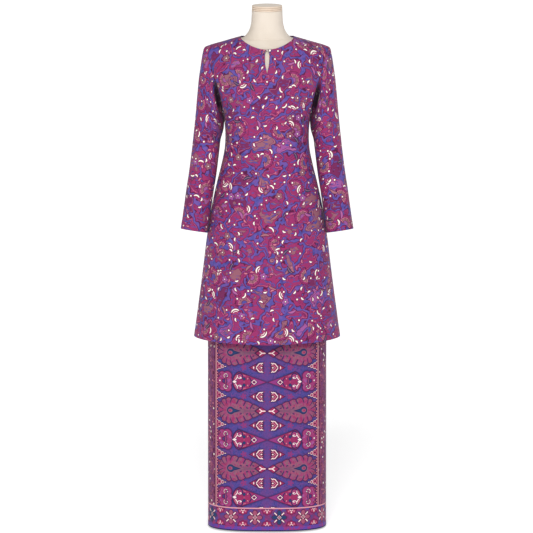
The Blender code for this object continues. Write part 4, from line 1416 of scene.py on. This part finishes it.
def open_slit(grid, opened):
    """Moves the columns next to the middle aside, row by row, as far as the slit opens."""
    x = grid[..., 0]
    opened = opened[:, None]
    aside = np.sign(x) * (opened + np.abs(x) * (1 - opened / SLIT_SQUEEZE))
    grid = grid.copy()
    grid[..., 0] = np.where(np.abs(x) < SLIT_SQUEEZE, aside, x)
    return grid


def panel_points(node, lead):
    """A panel's fine grid from -X to +X, and its slit's half width by row, or None."""
    half = half_panel(node, lead)
    opened = half[:, -1, 0].copy()
    half[:, -1, 0] = 0
    rows = np.concatenate([half * (-1, 1, 1), half[:, -2::-1]], axis=1)
    fine = swapped(refined(swapped(refined(rows, GRID_STEP)), GRID_STEP))
    if opened.max() < SAME_POINT:
        return fine, None
    gaps, at = spaced(rows)
    fine_at = [at[i] + gap * shares_of(gap, GRID_STEP) for i, gap in enumerate(gaps)]
    return fine, np.interp(np.concatenate([[0], *fine_at]), at, opened)


def in_seam_plane(grid, normals):
    """Turns the normals on the side and shoulder seams into the seam's own plane."""
    seam = np.abs(grid[..., 1]) < SAME_POINT
    normals = normals.copy()
    normals[seam, 1] = 0
    return unit(normals)


def stand_in(obj, node):
    """Fastens a piece to the body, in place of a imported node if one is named."""
    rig.ride(obj, "root")
    if node:
        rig.replaces(obj, node)
    return obj


def build_panel(name, node, lead, material, height, print_from=0.0):
    """A panel's cloth. print_from is where across the print its middle line lies."""
    grid, opened = panel_points(node, lead)
    away = grid * (1, 1, 0)
    normals = in_seam_plane(grid, normals_of(grid, away))
    across, up = run_along(grid, 1), run_along(grid, 0)
    across -= across[:, [across.shape[1] // 2]]
    tucked = panel_shade(across, grid[..., 2])
    grid = grid + normals * height(across, up)[..., None]
    if opened is not None:
        grid = open_slit(grid, opened)
    place = (grid, normals, across + print_from, up)
    obj = cloth(name, *place, WALL, material, slit=opened, tucked=tucked)
    return {"object": stand_in(obj, node), "grid": grid, "normals": normals, "up": up}


def build_tube(name, node, lead, seam, wall, material, height, print_from=0.0):
    """A tube's cloth. seam is the side its print begins and ends on."""
    grid = refined(tube(node, lead, seam), GRID_STEP)
    grid = swapped(refined(swapped(grid), GRID_STEP, closed=True))
    centre = grid.mean(axis=1, keepdims=True)
    normals = normals_of(grid, grid - centre, closed=True)
    around = run_along(np.concatenate([grid, grid[:, :1]], axis=1), 1)
    across, up = around[:, :-1] - around[:, -1:] / 2, run_along(grid, 0)
    tucked = sleeve_shade(across, up) if height is sleeve_height else None
    grid = grid + normals * height(across, up)[..., None]
    leaning = normals_of(grid, grid - centre, closed=True)
    inward = np.minimum(up, up[-1:] - up)
    normals = unit(normals + (leaning - normals) * rising(0.001, 0.0075, inward)[..., None])
    place = (grid, normals, across + print_from, up)
    obj = cloth(name, *place, wall, material, closed=True, tucked=tucked)
    return {"object": stand_in(obj, node), "grid": grid, "normals": normals, "up": up}


def finished_mesh(name, points, faces, material, node=None):
    """A smooth closed mesh with its faces turned out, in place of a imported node."""
    mesh = bpy.data.meshes.new(name)
    mesh.from_pydata(np.array(points).tolist(), [], faces)
    mesh.materials.append(material)
    obj = linked_object(name, mesh)
    bpy.context.view_layer.objects.active = obj
    bpy.ops.object.mode_set(mode="EDIT")
    bpy.ops.mesh.select_all(action="SELECT")
    bpy.ops.mesh.normals_make_consistent(inside=False)
    bpy.ops.object.mode_set(mode="OBJECT")
    bpy.ops.object.shade_smooth_by_angle(angle=SMOOTH_ANGLE)
    return stand_in(obj, node)


# ---------------------------------------------------------------- stitches

STITCH_SIDES = 6
STITCH_FLATNESS = 0.7
# Where a stitch is how thick, both as shares, from one end to the other
STITCH_SHAPE = ((0.0, 0.0), (0.12, 0.75), (0.5, 1.0), (0.88, 0.75), (1.0, 0.0))
STITCH_RADIUS = 0.00024
STITCH_LIFT = 0.00012
# Length and gap
HEM_STITCH = (0.0016, 0.0075)
NECK_STITCH = (0.0022, 0.0009)
KAIN_STITCH = (0.0024, 0.0009)
# Stitches run this far under the neck's edge and under the top of a fold
NECK_STITCH_DROP = 0.0042
FOLD_STITCH_DROP = 0.002
NECK_SPAN = 0.0805
NECK_DEPTH = 0.004


def point_at(at, run, points):
    """The point this far along a run of points."""
    return np.array([np.interp(at, run, points[:, i]) for i in range(3)])


def stitches(name, lines, length, gap, material):
    """Small rounded stitches laid along lines of points with their normals."""
    points, faces = [], []
    for line, facing in lines:
        run = np.concatenate([[0], np.cumsum(np.linalg.norm(np.diff(line, axis=0), axis=1))])
        for start in np.arange(gap / 2, run[-1] - length, length + gap):
            foot = point_at(start, run, line)
            along = point_at(start + length, run, line) - foot
            out = point_at(start + length / 2, run, facing)
            out -= along * (out @ along) / (along @ along)
            out /= np.linalg.norm(out)
            side = np.cross(out, along) / np.linalg.norm(along)
            base = len(points)
            for share, girth in STITCH_SHAPE:
                lift = STITCH_LIFT + STITCH_RADIUS * (girth - 1) * 1.2
                middle = foot + along * share + out * lift
                if girth == 0:
                    points.append(middle)
                    continue
                for k in range(STITCH_SIDES):
                    turn = 2 * math.pi * k / STITCH_SIDES
                    offset = out * math.cos(turn) * STITCH_FLATNESS + side * math.sin(turn)
                    points.append(middle + offset * STITCH_RADIUS * girth)
            ring = [base + 1 + STITCH_SIDES * i for i in range(3)]
            last = base + 1 + 3 * STITCH_SIDES
            for k in range(STITCH_SIDES):
                n = (k + 1) % STITCH_SIDES
                faces.append((base, ring[0] + n, ring[0] + k))
                for low, high in zip(ring, ring[1:]):
                    faces.append((low + k, low + n, high + n, high + k))
                faces.append((last, ring[2] + k, ring[2] + n))
    return finished_mesh(name, points, faces, material)


def line_on(piece, columns, level):
    """Points and normals along a piece, at the level that each column's run up gives."""
    runs = [piece["up"][:, column] for column in columns]
    line, facing = (
        np.array([point_at(level(up), up, points[:, c]) for up, c in zip(runs, columns)])
        for points in (piece["grid"], piece["normals"])
    )
    return line, facing


def above_foot(piece, fold, closed=False):
    """A line round a piece, a little under the top of its hem's fold."""
    columns = list(range(piece["grid"].shape[1])) + [0] * closed
    return line_on(piece, columns, lambda up: fold - FOLD_STITCH_DROP)


def below_neck(piece):
    """A line along the neck's edge, a little under it."""
    x, y, _ = piece["grid"][-1].T
    columns = np.flatnonzero((np.abs(y) > NECK_DEPTH) & (np.abs(x) < NECK_SPAN))
    return line_on(piece, columns, lambda up: up[-1] - NECK_STITCH_DROP)


# ---------------------------------------------------------------- form, cap, button, stand

CAP_FOOT = 1.5643
CAP_SIDES = 96
CAP_SMOOTH_ANGLE = math.radians(40)
# The turned cap from its foot: radius and height in millimetres
CAP_PROFILE = (
    (44.3, 0.0), (45.1, 0.3), (45.5, 1.1), (45.5, 4.1), (45.2, 4.7), (44.6, 5.1),
    (44.6, 5.3), (45.2, 5.7), (45.5, 6.3), (45.5, 9.3), (45.2, 9.9), (44.6, 10.3),
    (44.6, 10.5), (45.2, 10.9), (45.5, 11.5), (45.4, 13.2), (44.9, 14.4), (43.9, 15.2),
    (42.3, 15.6), (30.0, 16.1), (14.0, 16.4), (2.0, 16.5),
)
NECK_FREE = (1.477, 1.545)
FORM_EASE = 0.0010
FORM_STEP = 0.0062
PEARL_AT = (0.0080, -0.0775, 1.4533)
PEARL_RADIUS = 0.0035
PEARL_FLATNESS = 0.97


def padded_form(name, node, material):
    """The form as one smooth closed body, drawn in a little where the tunic covers it."""
    grid = refined(level_rings(node), FORM_STEP)
    normals = normals_of(grid, grid - grid.mean(axis=1, keepdims=True), closed=True)
    grid = grid - normals * (FORM_EASE * falling(*NECK_FREE, grid[..., 2]))[..., None]
    rows, columns = grid.shape[:2]
    faces = []
    for corners in grid_faces(rows, columns, closed=True):
        faces.append([row * columns + column % columns for row, column, _ in corners])
    faces += [list(range(columns)), list(range((rows - 1) * columns, rows * columns))]
    return finished_mesh(name, grid.reshape(-1, 3), faces, material, node)


def smooth_cord(name, node, material):
    """The button's loop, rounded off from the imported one."""
    source = merged(node)
    points = [vert.co[:] for vert in source.verts]
    faces = [[vert.index for vert in face.verts] for face in source.faces]
    source.free()
    obj = finished_mesh(name, points, faces, material, node)
    rounder = obj.modifiers.new("rounder", "SUBSURF")
    rounder.levels = rounder.render_levels = 2
    bpy.ops.object.modifier_apply(modifier=rounder.name)
    return obj


def started(name):
    """The primitive just added, named and opened for editing."""
    obj = bpy.context.object
    obj.name = name
    bpy.ops.object.transform_apply(location=True, rotation=True, scale=True)
    bpy.ops.object.mode_set(mode="EDIT")
    return obj


def ended(obj, material, angle, node):
    """Closes a primitive's editing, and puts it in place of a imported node."""
    bpy.ops.object.mode_set(mode="OBJECT")
    obj.data.materials.append(material)
    bpy.ops.object.shade_smooth_by_angle(angle=angle)
    return stand_in(obj, node)


def drilled_pearl(name, node, material):
    """A pearl, a touch flat, its drill holes to either side."""
    bpy.ops.mesh.primitive_uv_sphere_add(
        segments=40,
        ring_count=24,
        radius=PEARL_RADIUS,
        location=PEARL_AT,
        rotation=(0, math.radians(90), 0),
    )
    obj = started(name)
    for sense in (-1, 1):
        bpy.ops.mesh.select_all(action="DESELECT")
        shape = bmesh.from_edit_mesh(obj.data)
        for face in shape.faces:
            middle = face.calc_center_median()
            face.select_set((middle.x - PEARL_AT[0]) * sense > PEARL_RADIUS * 0.985)
        shape.select_flush(True)
        bmesh.update_edit_mesh(obj.data)
        bpy.ops.mesh.inset(thickness=PEARL_RADIUS * 0.03, depth=0)
        bpy.ops.transform.translate(value=(-sense * PEARL_RADIUS * 0.25, 0, 0))
    bpy.ops.mesh.select_all(action="SELECT")
    bpy.ops.transform.resize(value=(1, PEARL_FLATNESS, 1), center_override=PEARL_AT)
    return ended(obj, material, SMOOTH_ANGLE, node)


def turned_cap(name, node, material):
    """The neck's cap, drawn up ring by ring from a circle."""
    profile = [(radius / 1000, height / 1000) for radius, height in CAP_PROFILE]
    radius, height = profile[0]
    bpy.ops.mesh.primitive_circle_add(
        vertices=CAP_SIDES, radius=radius, fill_type="NGON", location=(0, 0, CAP_FOOT + height)
    )
    obj = started(name)
    bpy.ops.mesh.select_all(action="SELECT")
    for (low_radius, low), (high_radius, high) in zip(CAP_PROFILE, CAP_PROFILE[1:]):
        rise = (0, 0, (high - low) / 1000)
        bpy.ops.mesh.extrude_region_move(TRANSFORM_OT_translate={"value": rise})
        ratio = high_radius / low_radius
        top = (0, 0, CAP_FOOT + high / 1000)
        bpy.ops.transform.resize(value=(ratio, ratio, 1), center_override=top)
    bpy.ops.mesh.select_all(action="SELECT")
    bpy.ops.mesh.normals_make_consistent(inside=False)
    return ended(obj, material, CAP_SMOOTH_ANGLE, node)


# ---------------------------------------------------------------- the pieces

# Where across the print each piece's middle lies, in metres, so that no two are alike
BACK_PRINT = 3.1
SLEEVE_PRINT = 6.0
SLEEVES_APART = 1.7

printed_cotton = tunic_cloth("printed_cotton")
kain_head_cloth = kain_cloth("kain_head_cloth", True)
kain_body_cloth = kain_cloth("kain_body_cloth", False)

pieces = {}


def add_panel(garment, side, lead, material, folds, fold, print_from=0.0):
    node = f"{garment}_{side}"
    height = panel_height(folds, fold)
    pieces[node] = build_panel(f"{node}_cloth", node, lead, material, height, print_from)


add_panel("tunic", "front", FRONT, printed_cotton, FRONT_FOLDS, HEM_FOLD)
add_panel("tunic", "back", BACK, printed_cotton, BACK_FOLDS, HEM_FOLD, BACK_PRINT)
for side, out, seam, apart in (
    ("left", LEFT, RIGHT, SLEEVES_APART),
    ("right", RIGHT, LEFT, -SLEEVES_APART),
):
    node = f"sleeve_{side}"
    print_from = SLEEVE_PRINT + apart
    pieces[node] = build_tube(
        f"{node}_cloth", node, out, seam, WALL, printed_cotton, sleeve_height, print_from
    )
add_panel("kain", "front", FRONT, kain_head_cloth, KAIN_FOLDS, KAIN_FOLD)
add_panel("kain", "back", BACK, kain_body_cloth, KAIN_FOLDS, KAIN_FOLD)
pieces["kain_waistband"] = build_tube(
    "waistband_cloth", "kain_waistband", FRONT, LEFT, BAND_WALL, kain_body_cloth, level_height
)

plum_thread = thread("plum_thread", tint(110, 40, 96), tint(160, 74, 136), *SEWING_THREAD)
indigo_thread = thread("indigo_thread", tint(46, 40, 104), tint(96, 88, 160), *SEWING_THREAD)
sewing = {}
for side in ("front", "back"):
    panel = pieces[f"tunic_{side}"]
    hem = [above_foot(panel, HEM_FOLD)]
    line, facing = below_neck(panel)
    neck = [(line, facing)]
    if side == "front":
        middle = len(line) // 2
        neck = [(line[:middle], facing[:middle]), (line[middle + 1 :], facing[middle + 1 :])]
    sewing[f"tunic_{side}"] = [
        stitches(f"hem_stitches_{side}", hem, *HEM_STITCH, plum_thread),
        stitches(f"neck_stitches_{side}", neck, *NECK_STITCH, plum_thread),
    ]
for side in ("left", "right"):
    cuff = [above_foot(pieces[f"sleeve_{side}"], HEM_FOLD, closed=True)]
    sewn = stitches(f"cuff_stitches_{side}", cuff, *HEM_STITCH, plum_thread)
    sewing[f"sleeve_{side}"] = [sewn]
for node in ("kain_front", "kain_back"):
    foot = [above_foot(pieces[node], KAIN_FOLD)]
    sewing[node] = [stitches(f"{node}_stitches", foot, *KAIN_STITCH, indigo_thread)]

loop_thread = thread("loop_thread", tint(52, 24, 60), tint(98, 48, 96), *CORD_THREAD)
form = padded_form("form_cover", "form_torso", padded_cover())
cap = turned_cap("cap_turned", "neck_cap", cap_paint())
pearl = drilled_pearl("pearl_ball", "pearl_button", pearl_coat())
loop = smooth_cord("loop_cord", "button_loop", loop_thread)
steel = brushed_steel()
for node in ("stand_base", "stand_pole", "stand_flange"):
    for slot in frame["nodes"][node].material_slots:
        slot.material = steel

for node, piece in pieces.items():
    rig.slot(piece["object"], "kain_cloth" if node.startswith("kain") else "tunic_cloth")
for obj, slot in ((form, "form_cover"), (cap, "cap_wood"), (pearl, "pearl"), (loop, "loop_cord")):
    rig.slot(obj, slot)

# The cut of each cloth as it shows: width, length and area
for node, cut, area, carrier in (
    ("tunic_front", (0.588, 0.969), 0.407, "form_cover"),
    ("tunic_back", (0.588, 0.974), 0.413, "form_cover"),
    ("sleeve_left", (0.509, 0.552), 0.132, "tunic_front_cloth"),
    ("sleeve_right", (0.509, 0.552), 0.132, "tunic_front_cloth"),
    ("kain_front", (0.497, 1.079), 0.509, "waistband_cloth"),
    ("kain_back", (0.497, 1.079), 0.515, "waistband_cloth"),
    ("kain_waistband", (0.716, 0.029), 0.0207, "form_cover"),
):
    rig.sheet(
        pieces[node]["object"],
        flat=cut,
        held="hung",
        rests_on=[carrier],
        area=area,
        with_pieces=sewing.get(node, ()),
    )


# ---------------------------------------------------------------- floor, light and camera

IMAGE = 533
PER_PIXEL = 0.0030
SENSOR = 36
FAR = 400
CAMERA_AT = Vector((0.0, -17.0, 3.6))
AIM = Vector((0.0, 0.0, 0.79))
# How far the view is shifted sideways and upwards, in pixels
ASIDE, ABOVE = 266.5 - 267.1, 266.8 - 266.5
WORLD_LIGHT = 0.28
FLOOR_GREY = 0.93
FLOOR_GLOW = 0.46
# Name, direction, strength and spread in degrees
SUNS = (("key", (0.04, 1.0, -0.72), 2.10, 26), ("fill", (-0.5, -0.8, -0.6), 0.36, 50))


def looking_along(direction):
    return Vector(direction).to_track_quat("-Z", "Y").to_euler()


def set_camera():
    camera = bpy.data.cameras.new("camera")
    obj = linked_object("camera", camera)
    obj.location = CAMERA_AT
    view = AIM - CAMERA_AT
    obj.rotation_euler = looking_along(view)
    camera.sensor_width = SENSOR
    camera.lens = SENSOR * view.length / (IMAGE * PER_PIXEL)
    camera.shift_x, camera.shift_y = ASIDE / IMAGE, ABOVE / IMAGE
    camera.clip_end = FAR
    bpy.context.scene.camera = obj


def set_light():
    world = bpy.data.worlds.new("studio")
    bpy.context.scene.world = world
    world.use_nodes = True
    back = world.node_tree.nodes["Background"]
    back.inputs["Color"].default_value = (1, 1, 1, 1)
    back.inputs["Strength"].default_value = WORLD_LIGHT
    for name, direction, strength, spread in SUNS:
        light = bpy.data.lights.new(name, "SUN")
        light.energy = strength
        light.angle = math.radians(spread)
        linked_object(name, light).rotation_euler = looking_along(direction)


def set_floor():
    bpy.ops.mesh.primitive_plane_add(size=FAR, location=(0, 0, 0))
    floor = bpy.context.object
    floor.name = "floor"
    paper = {
        "Base Color": (FLOOR_GREY, FLOOR_GREY, FLOOR_GREY, 1),
        "Roughness": 0.9,
        "Emission Color": (1, 1, 1, 1),
        "Emission Strength": FLOOR_GLOW,
    }
    floor.data.materials.append(Recipe("floor_paper").finish(paper))
    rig.stage(floor)


set_camera()
set_light()
set_floor()
bpy.context.scene.view_settings.view_transform = "Standard"

boxes = {"cad": cad_box, "scene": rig.bounds()}
sizes = {name: [list(corner) for corner in box] for name, box in boxes.items()}
with open("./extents.json", "w") as size_file:
    json.dump(sizes, size_file)
